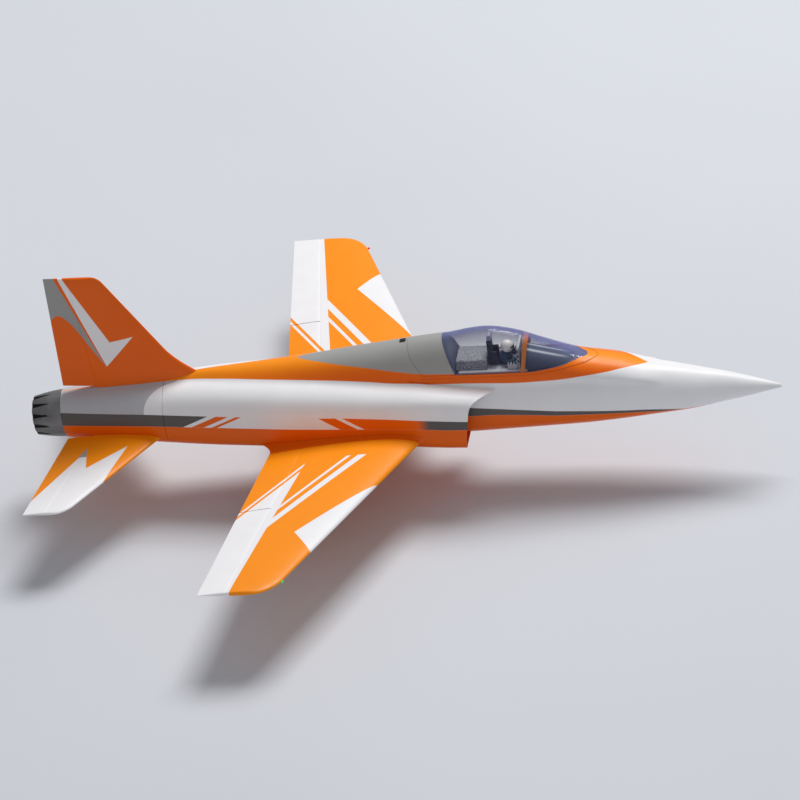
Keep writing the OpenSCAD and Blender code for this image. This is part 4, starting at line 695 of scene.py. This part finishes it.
def lip_edge(s, lo, hi):
    """Angle at which the room between the intake wall and the cockpit section runs out."""
    def room(th):
        return skin_r(BODY, s, th) - LIP_WALL - SEAM - skin_r(CORE, s, th) > 0
    return float(halving(room, np.radians(float(lo)), np.radians(float(hi))))


def main_skin():
    """Body from the swept intake lips to the tail seam, in one."""
    shape_s, n_lip, n_top, n_low, n_rise = LIP_S - 40, 36, 40, 18, 4
    lip_rows, lean_rows, aft_rows = 14, 10, 62
    rear = spread(lip_edge(NOSE_L, -20, -80), lip_edge(NOSE_L, 5, 80), n_lip)
    front = spread(lip_edge(shape_s, -20, -80), min(lip_edge(shape_s, 5, 80), rear[-1]), n_lip)
    under, seam = angle_at_z(NOSE_L, HATCH_Z - 1.5), angle_at_z(NOSE_L, HATCH_Z)

    def ring(a):
        rise = spread(a[-1], under, n_rise)[1:]
        over = spread(seam, math.pi - seam, n_top - 2 * n_rise - 2)
        low = spread(math.pi - a[0], TURN + a[0], n_low)[1:-1]
        return np.r_[a, rise, over, (math.pi - rise)[::-1], (math.pi - a)[::-1], low]

    a0, a1 = ring(front), ring(rear)
    edge = skin(BODY, shape_s, a0)
    swept = np.clip((edge[:, 2] + BELLY_H) / LIP_SQUARE_H, 0, 1) * LIP_SWEEP
    lip_x = (NOSE_X - LIP_S + swept * (BODY_HALF_W - np.abs(edge[:, 1]))
             + LIP_RAKE * (edge[:, 2] - LIP_TOP_H))
    u = spread(0, 1, lip_rows)[:, None]
    aft = spread(NOSE_L, TAIL_S - TAIL_L - SEAM, aft_rows)[1:, None]
    s = np.concatenate([lerp(NOSE_X - lip_x, NOSE_L, u), aft + a1 * 0])
    angles = np.concatenate([lerp(a0, a1, u), a1 + aft * 0])

    # The top reaches forward to the leaning rear seam of the hatch
    row, column = np.arange(len(s)), np.arange(len(a0))
    reach = np.where((a1 >= seam) & (a1 <= math.pi - seam), NOSE_L - rear_seam(a1), 0)
    fade = np.interp(row, [lip_rows - 1, lip_rows, lip_rows + lean_rows], [0, 1, 0])
    s = s - fade[:, None] * reach
    inset = np.where(row <= lip_rows, LIP_WALL, WALL)[:, None]
    lip = (column < n_lip) | ((column >= n_lip + n_top) & (column < 2 * n_lip + n_top))
    keep = (row[:-1, None] >= lip_rows) | lip
    solid = shell(skin(BODY, s, angles), skin(BODY, s, angles, inset), keep, wrap=True)
    piece("main_skin", solid, BODY_PAINT,
          ("main_fuselage", "intake_lip_left", "intake_lip_right"), bevel=0.8)


def tail_skin():
    """Tail section, its rear end canted with the nozzle."""
    s = np.r_[spread(TAIL_S - TAIL_L + SEAM, TAIL_S - 12, 26), TAIL_S][:, None]

    def rings(inset):
        p = skin(BODY, s, around(96), inset)
        p[-1, :, 0] -= math.tan(NOZZLE_CANT) * (p[-1, :, 2] - TAIL_MID_Z) - SEAM
        return p

    solid = shell(rings(0), rings(WALL), wrap=True)
    piece("tail_skin", solid, BODY_PAINT, ("tail_fuselage",), bevel=0.6)


forward_skin()
main_skin()
tail_skin()


# Wing, tailplane and fin. A foil is its leading edge, trailing edge, thickness and hinge; its points are
# written as (along, across).
def foil(u, t):
    """Half thickness at a share u of the chord."""
    curve = 0.2969 * np.sqrt(u) - 0.126 * u - 0.3516 * u ** 2 + 0.2843 * u ** 3 - 0.1036 * u ** 4
    return 5 * t * curve + TE_HALF * u


def foil_pt(f, u, side):
    u = np.asarray(u, float)
    return np.stack([lerp(f[0][0], f[1][0], u), lerp(f[0][1], f[1][1], u) + side * foil(u, f[2])], -1)


def chord_share(f, x):
    return (f[0][0] - x) / (f[0][0] - f[1][0])


def nose_r(f):
    """Radius of the moving surface about its hinge."""
    return float(foil(chord_share(f, f[3][0]), f[2]))


def arc(centre, r, a, b, n):
    t = np.radians(spread(a, b, n))
    return np.asarray(centre) + r * np.stack([np.cos(t), np.sin(t)], -1)


def fixed_section(f, k=30):
    """Outline of the fixed part, with a hollow for the nose of the moving part."""
    r = nose_r(f) + SURFACE_GAP
    most = math.degrees(math.asin(nose_r(f) / r)) - 3
    lip_up, lip_low = min(most, 65), min(most, 45)
    up, low = (chord_share(f, f[3][0] + r * math.cos(math.radians(a))) for a in (lip_up, lip_low))
    ease = 1 - np.cos(spread(0, TOP, k))
    return np.concatenate([foil_pt(f, up * ease[::-1], 1), foil_pt(f, low * ease[1:], -1),
                           arc(f[3], r, -lip_low, lip_up, 8)])


def moving_section(f, k=10):
    top = spread(1, chord_share(f, f[3][0]), k)[:-1]
    nose = arc(f[3], nose_r(f), 90, -90, 14)
    return np.concatenate([foil_pt(f, top, 1), nose, foil_pt(f, top[::-1], -1)])


def near_end(y, end, length):
    """Share of the last length before an end, from 0 to 1."""
    return min(1.0, max(0.0, (y - end + length) / length))


def rounded(y, end, length):
    """How far a corner has bent back, from 0 to 1."""
    return 1 - math.sqrt(1 - near_end(y, end, length) ** 2)


def tip_round(y, end, depth):
    """Thickness share that closes a tip in a round edge."""
    return max(0.08, math.sqrt(1 - near_end(y, end, depth) ** 2))


def tip_stations(end, length, depth):
    curve = end - length + length * np.sin(spread(0, TOP, 14))
    edge = end - depth + depth * np.sin(spread(0, TOP, 6))
    return np.r_[curve, edge]


WING_ROOT_Y, WING_TIP_Y, WING_EDGE, CORNER_L, CORNER_BACK = 118.0, 650.0, 4.0, 44.0, 35.0
STAB_Y, STAB_TIP_Y, TAIL_EDGE, STAB_CORNER_L, STAB_CORNER_BACK = 60.0, 311.0, 3.0, 25.0, 22.0
FLAP_END, ELEVATOR_Y = 343.0, 53.0
FIN_H, FIN_TE_X, FIN_TIP_C, FIN_SWEEP, FIN_CORNER = 327.0, NOSE_X - 1481, 112.0, 0.633, 14.0
FIN_ROOT_T, FIN_TIP_T, RUDDER_C, RUDDER_TIP_C, RUDDER_Z = 22.0, 10.0, 69.0, 47.0, 67.0
FIN_FILLET_Z, FIN_FILLET_L, FIN_FILLET_H, FIN_ROOT_Z = 150.0, 44.0, 80.0, 92.0


def foil_end(y, s, z, chord, fall, thickness, moving):
    """Foil at a root or tip, from its place y, the station and height of its leading edge, its chord, the
    fall of its trailing edge, its thickness and the chord of its moving part."""
    rear, hinge_z = NOSE_X - s - chord, z - fall * (1 - moving / chord)
    return np.array([y, NOSE_X - s, z, rear, z - fall, thickness, rear + moving, hinge_z])


WING = (foil_end(WING_ROOT_Y, 735, -30, 310, 12, 34, 67), foil_end(WING_TIP_Y, 959, -14, 147, 1, 14, 55))
STAB = (foil_end(STAB_Y, 1281, -30, 197, 0, 18, 52), foil_end(STAB_TIP_Y, 1442, -40, 85, 0, 9, 45))


def level_foil(ends, y, corner_l, corner_back, edge):
    """Foil at y between a root and a tip with a rounded corner."""
    root_y, tip_y = ends[0][0], ends[1][0]
    p = lerp(*ends, (y - root_y) / (tip_y - root_y))
    bend = rounded(y, tip_y, corner_l)
    thickness = p[5] * (1 - bend / 2) * tip_round(y, tip_y, edge)
    return (p[1] - bend * corner_back, p[2]), p[3:5], thickness, p[6:]


def wing_foil(y):
    return level_foil(WING, y, CORNER_L, CORNER_BACK, WING_EDGE)


def stab_foil(y):
    return level_foil(STAB, y, STAB_CORNER_L, STAB_CORNER_BACK, TAIL_EDGE)


def fin_foil(z):
    u = (z - RUDDER_Z) / (FIN_H - RUDDER_Z)
    bend = rounded(z, FIN_H, FIN_CORNER)
    low = max(z, FIN_ROOT_Z)
    le = (FIN_TE_X + FIN_TIP_C + FIN_SWEEP * (FIN_H - low) - FIN_CORNER * bend
          + FIN_FILLET_L * (max(0, FIN_FILLET_Z - low) / FIN_FILLET_H) ** 2)
    t = lerp(FIN_ROOT_T, FIN_TIP_T, u) * (1 - bend / 2) * tip_round(z, FIN_H, TAIL_EDGE)
    return (le, 0), (FIN_TE_X, 0), t, (FIN_TE_X + lerp(RUDDER_C, RUDDER_TIP_C, u), 0)


def surface(section, foil_at, places, root=(), upright=False):
    """Solid through sections at distances from the middle, or at heights if upright, after a root ring."""
    rings = [*root]
    for v in places:
        x, across = section(foil_at(v)).T
        level = x * 0 + v
        rings.append(np.column_stack([x, -across, level] if upright else [x, level, across]))
    return loft(rings)


def both_sides(name, solid, material, body="airframe", cutters=()):
    """The same solid on both sides, each standing for the node of its own name."""
    for side in ("left", "right"):
        solids = [solid, *cutters] if side == "left" else [mirrored(*m) for m in (solid, *cutters)]
        piece(f"{name}_{side}_skin", solids[0], material, (f"{name}_{side}",), body.format(side),
              cutters=solids[1:])


MAIN_X, MAIN_PIVOT_Y, MAIN_LEG_L, MAIN_WHEEL_R, SLOT_HALF = NOSE_X - 885, 258.0, 105.0, 29.0, 11.0
WELL_TOP_Z, RETRACT_TOP_Z, RETRACT_HALF, CUT_LOW_Z = -36.04 + 12.3, -31.9 + 10, 23.0, -90.0
SERVO_L, SERVO_H, SERVO_GAP, SERVO_AHEAD, SERVO_YS = 23.0, 12.4, 0.4, 45.0, (312.0, 430.0)


def wing_cutters():
    """Wheel well, leg slot, retract bay and servo bays, all open below."""
    axle_y, x = MAIN_PIVOT_Y - MAIN_LEG_L, MAIN_X
    tools = [disc((x, axle_y), MAIN_WHEEL_R + WELL_GAP, CUT_LOW_Z, WELL_TOP_Z),
             box((x - SLOT_HALF, axle_y, CUT_LOW_Z), (x + SLOT_HALF, MAIN_PIVOT_Y + 12, WELL_TOP_Z - 0.1)),
             box((x - RETRACT_HALF, MAIN_PIVOT_Y - 13, CUT_LOW_Z),
                 (x + RETRACT_HALF, MAIN_PIVOT_Y + 23, RETRACT_TOP_Z))]
    half = SERVO_L / 2 + SERVO_GAP
    for y in SERVO_YS:
        f = wing_foil(y)
        x = f[3][0] + SERVO_AHEAD
        z = foil_pt(f, chord_share(f, x - SERVO_L / 2), -1)[1] + 1.5
        tools.append(box((x - half, y - half, CUT_LOW_Z), (x + half, y + half, z + SERVO_H)))
    return tools


def wing_pieces():
    tip = tip_stations(WING_TIP_Y, CORNER_L, WING_EDGE)
    fixed = np.unique(np.r_[spread(WING_ROOT_Y, WING_TIP_Y - CORNER_L, 32), tip])
    flap = spread(WING_ROOT_Y + SURFACE_GAP, FLAP_END - BREAK_GAP / 2, 12)
    aileron = np.unique(np.r_[spread(FLAP_END + BREAK_GAP / 2, WING_TIP_Y - CORNER_L, 14), tip])
    both_sides("wing", surface(fixed_section, wing_foil, fixed), WING_PAINT,
               cutters=wing_cutters())
    both_sides("flap", surface(moving_section, wing_foil, flap), WING_PAINT, "flap_{}")
    both_sides("aileron", surface(moving_section, wing_foil, aileron), WING_PAINT,
               "aileron_{}")


def fairing_pieces():
    """Wing roots: the wing's section grows and drops onto the body in a hollow curve."""
    (le_x, le_z), (te_x, te_z), t, _ = wing_foil(WING_ROOT_Y)
    ease = 1 - np.cos(spread(math.radians(4), TOP, 36))
    rings = []
    for v in np.r_[0, 0.06, spread(0.15, 1, 9)]:
        grow = 12 * (1 - v) ** 2.2
        f = ((le_x + grow, le_z), (te_x - 2 * grow, te_z), t + grow / 3)
        p = np.concatenate([foil_pt(f, ease[::-1], 1), foil_pt(f, ease, -1)])
        inner_y = side_y(NOSE_X - p[:, 0], p[:, 1]) + SEAM
        rings.append(np.column_stack([p[:, 0], lerp(inner_y, WING_ROOT_Y - SEAM, v), p[:, 1]]))
    both_sides("wing_fairing", loft(rings), BODY_PAINT)


def tail_pieces():
    """Tailplane halves, elevators, fin and rudder; the fixed ones start on the body's skin."""
    root = fixed_section(stab_foil(STAB_Y))
    on_body = np.column_stack([root[:, 0], side_y(NOSE_X - root[:, 0], root[:, 1]) + SEAM, root[:, 1]])
    ys = np.unique(np.r_[spread(STAB_Y + 20, STAB_TIP_Y - STAB_CORNER_L, 18),
                         tip_stations(STAB_TIP_Y, STAB_CORNER_L, TAIL_EDGE)])
    both_sides("stab", surface(fixed_section, stab_foil, ys, [on_body]), STAB_PAINT)
    elevator = surface(moving_section, stab_foil, np.r_[ELEVATOR_Y, ys])
    both_sides("elevator", elevator, STAB_PAINT, "elevator_{}")
    root = fixed_section(fin_foil(RUDDER_Z))
    roof = roof_z(NOSE_X - root[:, 0], np.abs(root[:, 1])) + SEAM
    on_spine = np.column_stack([root[:, 0], -root[:, 1], roof])
    zs = np.unique(np.r_[spread(FIN_ROOT_Z + 12.5, FIN_FILLET_Z, 14),
                         spread(FIN_FILLET_Z, FIN_H - FIN_CORNER, 14),
                         tip_stations(FIN_H, FIN_CORNER, TAIL_EDGE)])
    fin = surface(fixed_section, fin_foil, zs, [on_spine], upright=True)
    piece("fin_skin", fin, FIN_PAINT, ("fin",))
    rudder = surface(moving_section, fin_foil, np.r_[spread(RUDDER_Z, zs[0] - 4, 6), zs], upright=True)
    piece("rudder_skin", rudder, FIN_PAINT, ("rudder",), "rudder")


wing_pieces()
fairing_pieces()
tail_pieces()


# Hatch: rail, floor, glass, bow and the deck behind the glass
GLASS_COLUMNS, BOW_T, FLOOR_INSET = 48, 2.0, 3.2


def aboard(name, solid, material, stands_for=(), bevel=0.0):
    """A piece that lifts with the hatch."""
    piece(name, solid, material, stands_for, "hatch", bevel=bevel)


def glass_edge(s, gap=0.0, inset=0.0):
    """Angle of the lower edge of the glass."""
    under_roof = skin_r(CORE, s, TOP) - inset - 2
    angle = angle_at_z(s, np.minimum(seam_z(s) + RAIL_H + gap, under_roof), inset)
    return round_front(s, angle, GLASS_TIP_S, GLASS_ROUND)


def over_top(a, n=GLASS_COLUMNS):
    """Angles from a on one side over the top to the other side."""
    return lerp(a, math.pi - a, spread(0, 1, n))


def rear_lean():
    """How far the rear edge of the glass lies behind its lower corners."""
    s = np.array([[GLASS_REAR_S]])
    p = skin(CORE, s, over_top(glass_edge(s)))[..., 2]
    return GLASS_LEAN * np.maximum(0, p - seam_z(s) - RAIL_H)


def glass_wall(s, row, thick):
    """Wall over the glass line: s is the station of each point, row that of its lower edge."""
    return shell(*(skin(CORE, s, over_top(glass_edge(row, SEAM / 2, d)), d) for d in (0, thick)))


def canopy_glass():
    row = np.r_[front_rows(GLASS_TIP_S + 0.4, GLASS_ROUND, 16),
                spread(GLASS_TIP_S + GLASS_ROUND + 4, GLASS_REAR_S, 44)][:, None]
    u = np.clip((row - BOW_S) / (GLASS_REAR_S - BOW_S), 0, 1)
    solid = glass_wall(row + rear_lean() * u ** 2, row, GLASS_T)
    aboard("canopy_shell", solid, GLASS, ("canopy_glass",))


def deck():
    """Painted deck between the rear edge of the glass and the leaning rear seam."""
    u = spread(0, 1, 14)[:, None]
    row = lerp(GLASS_REAR_S, HATCH_END_S - SEAM, u)
    rear = rear_seam(over_top(glass_edge(row[-1:], SEAM / 2))) - SEAM
    behind = lerp(GLASS_REAR_S + rear_lean() + SEAM, rear, u)
    solid = glass_wall(behind, row, WALL)
    aboard("hatch_deck_skin", solid, BODY_PAINT, ("hatch_deck",), bevel=0.4)


def bow():
    """Painted hoop inside the glass, its top leaning forward."""
    row = spread(BOW_S - BOW_W / 2, BOW_S + BOW_W / 2, 6)[:, None]

    def grid(inset):
        angles = over_top(glass_edge(row, SEAM / 2, inset), 40)
        low = np.sin(angles[:, :1])
        return skin(CORE, row + 3 - BOW_LEAN * (np.sin(angles) - low) / (1 - low), angles, inset)

    outside = GLASS_T + SEAM
    aboard("canopy_bow_skin", shell(grid(outside), grid(outside + BOW_T)), BOW_PAINT,
           ("canopy_bow",), bevel=0.6)


def rail():
    """Painted strip between the hatch seam and the glass, closed over the top in front of the glass."""
    s = np.unique(np.r_[front_rows(HATCH_TIP_S + HATCH_GAP, HATCH_ROUND, 14),
                        front_rows(GLASS_TIP_S, GLASS_ROUND, 14),
                        spread(GLASS_TIP_S + GLASS_ROUND, HATCH_END_S - SEAM, 56)])[:, None]
    n = 5
    side = lerp(hatch_edge(s, HATCH_GAP / 2), glass_edge(s, -SEAM / 2), spread(0, 1, n))
    angles = np.concatenate([side, math.pi - side[:, ::-1]], 1)
    keep = np.ones((len(s) - 1, 2 * n + 1), bool)
    keep[:, n] = s[1:, 0] < GLASS_TIP_S + 0.1
    solid = shell(skin(CORE, s, angles), skin(CORE, s, angles, RAIL_T), keep)
    aboard("hatch_rail", solid, BODY_PAINT, ("hatch_frame",))


def hatch_floor():
    """Floor of the hatch at the height of its seam."""
    rings = []
    for s in np.r_[HATCH_TIP_S + 14, spread(HATCH_TIP_S + 20, HATCH_END_S - 4, 30)]:
        x, low, high = NOSE_X - s, seam_z(s) + 0.4, seam_z(s) + 2
        a = hatch_edge(s)
        y = skin_r(CORE, s, a) * math.cos(a) - FLOOR_INSET
        rings.append([(x, -y, low), (x, y, low), (x, y, high), (x, -y, high)])
    aboard("hatch_floor", loft(rings), SLATE)


canopy_glass()
deck()
bow()
rail()
hatch_floor()


# Cockpit under the glass
COCKPIT_Z, TUB_HALF_W, SILL_Z, SILL_Y, SILL_HALF = 84.4, 41.0, 89.0, 39.0, 4.0
TUB_S, BOX_S, BOX_TOP, SEAT_S, SEAT_TOP = (514.0, 647.0), (589.0, 653.0), 108.0, 588.0, 142.0
PANEL_S, PANEL_TOP, PILOT_S, CONSOLE_Y, CONSOLE_TOP = 524.0, 130.0, 549.0, 30.0, 99.0
HOOD_NARROW, HOOD_FLAT, HOOD_T, LINING = 0.86, 0.6, 1.5, 5.0


def join(*solids):
    """Several closed solids as one mesh."""
    points, faces, count = [], [], 0
    for p, f in solids:
        p = np.asarray(p, float).reshape(-1, 3)
        points.append(p)
        faces += [[k + count for k in face] for face in f]
        count += len(p)
    return np.concatenate(points), faces


def pair(x0, x1, y, half, z0, z1):
    """Two equal boxes, one on each side of the middle."""
    return [box((x0, v - half, z0), (x1, v + half, z1)) for v in (-y, y)]


def tapered(s0, s1, z0, z1, half_low, half_high, slope=0.0):
    """Block between two stations that narrows upward; slope leans its ends together."""
    x0, x1 = NOSE_X - s1, NOSE_X - s0
    return loft([[(x0 + d, -w, z), (x1 - d, -w, z), (x1 - d, w, z), (x0 + d, w, z)]
                 for z, w, d in ((z0, half_low, 0), (z1, half_high, slope))])


def ball(centre, radii, n=28):
    """Egg shape round a centre."""
    a = around(n)
    t = spread(-TOP + 0.06, TOP - 0.06, n // 2)
    rings = [np.stack([np.cos(v) * np.cos(a), np.cos(v) * np.sin(a), a * 0 + math.sin(v)], -1) for v in t]
    return loft(np.array(rings) * radii + np.asarray(centre, float))


def tube(points, r, n=12, steps=16):
    """Round bar along a smooth path through a few points."""
    table = np.column_stack([np.arange(len(points)), points])
    t = spread(0, len(points) - 1, steps)
    path = np.stack([at_station(table, t, c) for c in (1, 2, 3)], -1)
    along = np.gradient(path, axis=0)
    along /= np.linalg.norm(along, axis=1)[:, None]
    side = np.cross(along, [0.13, 0.29, 0.95])
    side /= np.linalg.norm(side, axis=1)[:, None]
    up = np.cross(side, along)
    c, d = np.cos(around(n))[:, None], np.sin(around(n))[:, None]
    return loft([p + r * (c * u + d * v) for p, u, v in zip(path, side, up)])


def tub():
    """Floor, sills, the sparkling box behind the seat and the wall under the rear edge of the glass."""
    rear, front = NOSE_X - TUB_S[1], NOSE_X - TUB_S[0]
    sills = pair(rear, front + 8, SILL_Y, SILL_HALF, COCKPIT_Z, SILL_Z)
    floor = box((rear, -TUB_HALF_W, COCKPIT_Z), (front, TUB_HALF_W, COCKPIT_Z + 1.5))
    aboard("cockpit_tub", join(floor, *sills), SILL, ("cockpit_floor",), bevel=0.6)
    aboard("rear_box", tapered(*BOX_S, COCKPIT_Z + 1.6, BOX_TOP, 35, 28), SPARKLE, bevel=3)
    angles = over_top(glass_edge(np.array([[GLASS_REAR_S]]), 0, LINING))
    edge = skin(CORE, GLASS_REAR_S + rear_lean(), angles, LINING)[0]
    aboard("rear_bulkhead", loft([edge, edge - [2, 0, 0]]), SLATE)


def coaming():
    """Hood in front of the panel, with a painted highlight strip along it."""
    row = np.r_[front_rows(GLASS_TIP_S + 22, 40, 10), spread(GLASS_TIP_S + 66, PANEL_S - 6, 12)][:, None]
    base = skin(CORE, row, over_top(glass_edge(row, 1, 4), 24), LINING)
    foot = COCKPIT_Z + 2
    top = base * [1, HOOD_NARROW, HOOD_FLAT] + [0, 0, foot * (1 - HOOD_FLAT)]
    aboard("panel_hood", shell(top, top - [0, 0, HOOD_T]), COAMING)


def panel():
    """Instrument panel with a console on each side, and the screens on all of them."""
    x, foot = NOSE_X - PANEL_S, COCKPIT_Z + 1.7
    face = tapered(PANEL_S - 3, PANEL_S + 2, foot, PANEL_TOP, 33, 26)
    consoles = pair(x - 22, x - 2.2, CONSOLE_Y, 5, foot, CONSOLE_TOP)
    aboard("panel_face", join(face, *consoles), SILL, ("instrument_panel",), bevel=0.8)
    screens = []
    for z, w in ((101, 30.8), (111, 29.2), (121, 27.6)):
        screens.append(box((x - 3.4, -12, z), (x - 2.1, 12, z + 6)))
        screens += pair(x - 3.4, x - 2.1, 20.5, 5.5, z, z + 6) + pair(x - 1, x + 2, w, 0.6, z, z + 6)
    for back in (20, 14, 8):
        screens += pair(x - back, x - back + 4, CONSOLE_Y, 4, CONSOLE_TOP + 0.1, CONSOLE_TOP + 1.4)
    aboard("panel_screens", join(*screens), SCREEN, bevel=0.4)


def seat():
    x, w, foot = NOSE_X - SEAT_S, 15.0, COCKPIT_Z + 6
    pan = box((x, -w, foot - 4), (x + 42, w, foot))
    back = tapered(SEAT_S - 9, SEAT_S, foot, SEAT_TOP, w, w - 4)
    wings = pair(x + 8.5, x + 20, w - 2, 2, foot, 118)
    aboard("seat_shell", join(pan, back, *wings), SEAT, ("pilot_seat",), bevel=1.2)
    headrest = tapered(SEAT_S - 11, SEAT_S - 1, SEAT_TOP + 0.3, SEAT_TOP + 11, 11, 8, 1.5)
    aboard("seat_headrest", headrest, LILAC, bevel=1.5)


# Torso of the doll: height, half depth and half width
TORSO = ((0, 13, 13.5), (5, 14.5, 15), (10, 13.5, 16.5), (15, 11, 17), (18, 8, 12.5), (20, 5, 6),
         (23, 4.5, 5))


def pilot():
    """A plain doll with a helmet, dark visor, mask and hose."""
    x, z = NOSE_X - PILOT_S, COCKPIT_Z + 6.3
    a = around(28)
    torso = loft([np.column_stack([x - 5 + d * np.cos(a), w * np.sin(a), np.full(28, z + h)])
                  for h, d, w in TORSO])
    arms = [tube([(x - 5, y, z + 14), (x - 1, 1.3 * y, z + 8), (x + 9, 1.2 * y, z + 5.5),
                  (x + 17, 0.7 * y, z + 7)], 4) for y in (-15.0, 15.0)]
    aboard("pilot_torso", join(torso, *arms), SUIT, ("pilot_body",))
    straps = [tube([(x + 6.8, 0.35 * y, z + 2), (x + 6.9, 0.7 * y, z + 9), (x + 1, y, z + 17.5),
                    (x - 9, y, z + 17)], 1.2, 8) for y in (-8.0, 8.0)]
    aboard("pilot_straps", join(*straps), STRAP)
    head = np.array([x + 1, 0, z + 31.5])
    ears = [ball(head + [-1, y, -2], (5, 2, 5)) for y in (-12, 12)]
    helmet = join(ball(head, (13.2, 12.6, 13.2)), *ears)
    aboard("pilot_helmet_shell", helmet, HELMET, ("pilot_helmet",))
    visor = ball(head + [3.6, 0, 0.4], (10.8, 11, 5.6))
    mask = ball(head + [9.5, 0, -7.5], (5.6, 5, 4.6))
    hose = tube([head + [12.5, 0, -9.5], head + [15, 3, -17], head + [9, 7, -23]], 1.7)
    aboard("pilot_visor", join(visor, mask, hose), SCREEN)


tub()
coaming()
panel()
seat()
pilot()


def nozzle():
    """Exhaust nozzle with lapped petals."""
    u = spread(0, 1, 30)[:, None]
    a = around(PETALS * 16)
    from_gap = np.abs((a * PETALS / TURN + 0.5) % 1 - 0.5)
    opening = PETAL_NOTCH * np.clip((u - PETAL_START) / (1 - PETAL_START), 0, 1)
    notch = np.clip((opening - from_gap) * 16, 0, 1)
    bead = 0.6 * (u < 0.03)
    outer = lerp(TAIL_R - 1, NOZZLE_EXIT_R, u ** 1.6) + bead - 2 * notch
    inner = np.broadcast_to(lerp(44.0, NOZZLE_BORE_R, np.minimum(u / 0.33, 1)), outer.shape)
    root = np.array([NOSE_X - TAIL_S, 0, TAIL_MID_Z])
    back = np.array([-math.cos(NOZZLE_CANT), 0, -math.sin(NOZZLE_CANT)])
    up = np.array([-math.sin(NOZZLE_CANT), 0, math.cos(NOZZLE_CANT)])

    def rings(r):
        across = (r * np.cos(a))[..., None] * np.array([0, 1, 0]) + (r * np.sin(a))[..., None] * up
        return root + (u * NOZZLE_L)[..., None] * back + across

    solid = shell(rings(outer), rings(np.minimum(inner, outer - 0.5)), wrap=True)
    piece("nozzle_petals", solid, NOZZLE, ("nozzle",), sharp=25)


nozzle()


# Stage: light, camera and a floor that lies just under the wheels when the legs are down
FLOOR_DROP, FLOOR_HALF, FLOOR_T = 121.0, 40000, 40
SKY, SKY_STRENGTH = (0.93, 0.95, 1.0, 1), 0.34
LAMPS = (("key", (1.4, 3.6, 7.4), 3.6, 575), ("fill", (1.5, -4.5, 2.6), 3.5, 18))
LAMP_AIM = Vector((0, 0, 0.1))
CAMERA = {"azimuth": 12.9, "elevation": 32.8, "roll": -9.2, "distance": 14.0, "right": -0.0105}
FOCAL_PIXELS, IMAGE_PIXELS, SENSOR = 6864, 800, 36


def stage():
    top = -BELLY_H - FLOOR_DROP
    slab = box((-FLOOR_HALF, -FLOOR_HALF, top - FLOOR_T), (FLOOR_HALF, FLOOR_HALF, top))
    pale = plain("floor_grey", (206, 209, 214), (0.8, 0.95), grain=0.01, spot=0.0005)
    floor = new_object("floor", *slab, pale)
    scene = bpy.context.scene
    scene.view_settings.view_transform = "Standard"
    scene.world = bpy.data.worlds.new("studio")
    scene.world.use_nodes = True
    sky = scene.world.node_tree.nodes["Background"].inputs
    sky["Color"].default_value = SKY
    sky["Strength"].default_value = SKY_STRENGTH
    for name, place, size, power in LAMPS:
        lamp = bpy.data.lights.new(name, "AREA")
        lamp.size, lamp.energy = size, power
        obj = bpy.data.objects.new(name, lamp)
        obj.location = place
        obj.rotation_mode = "QUATERNION"
        obj.rotation_quaternion = (Vector(place) - LAMP_AIM).to_track_quat("Z", "Y")
        scene.collection.objects.link(obj)


def camera():
    a, e, roll = (math.radians(CAMERA[k]) for k in ("azimuth", "elevation", "roll"))
    back = Vector((math.sin(a) * math.cos(e), -math.cos(a) * math.cos(e), math.sin(e)))
    level = Vector((math.cos(a), math.sin(a), 0))
    upright = back.cross(level)
    right = math.cos(roll) * level + math.sin(roll) * upright
    up = back.cross(right)
    data = bpy.data.cameras.new("camera")
    data.sensor_width, data.lens = SENSOR, FOCAL_PIXELS / IMAGE_PIXELS * SENSOR
    data.clip_start, data.clip_end = 0.5, 200
    obj = bpy.data.objects.new("camera", data)
    place = back * CAMERA["distance"] + right * CAMERA["right"] + Vector((0, 0, BELLY_H * MM))
    obj.matrix_world = Matrix.Translation(place) @ Matrix((right, up, back)).transposed().to_4x4()
    bpy.context.scene.collection.objects.link(obj)
    bpy.context.scene.camera = obj


stage()
camera()
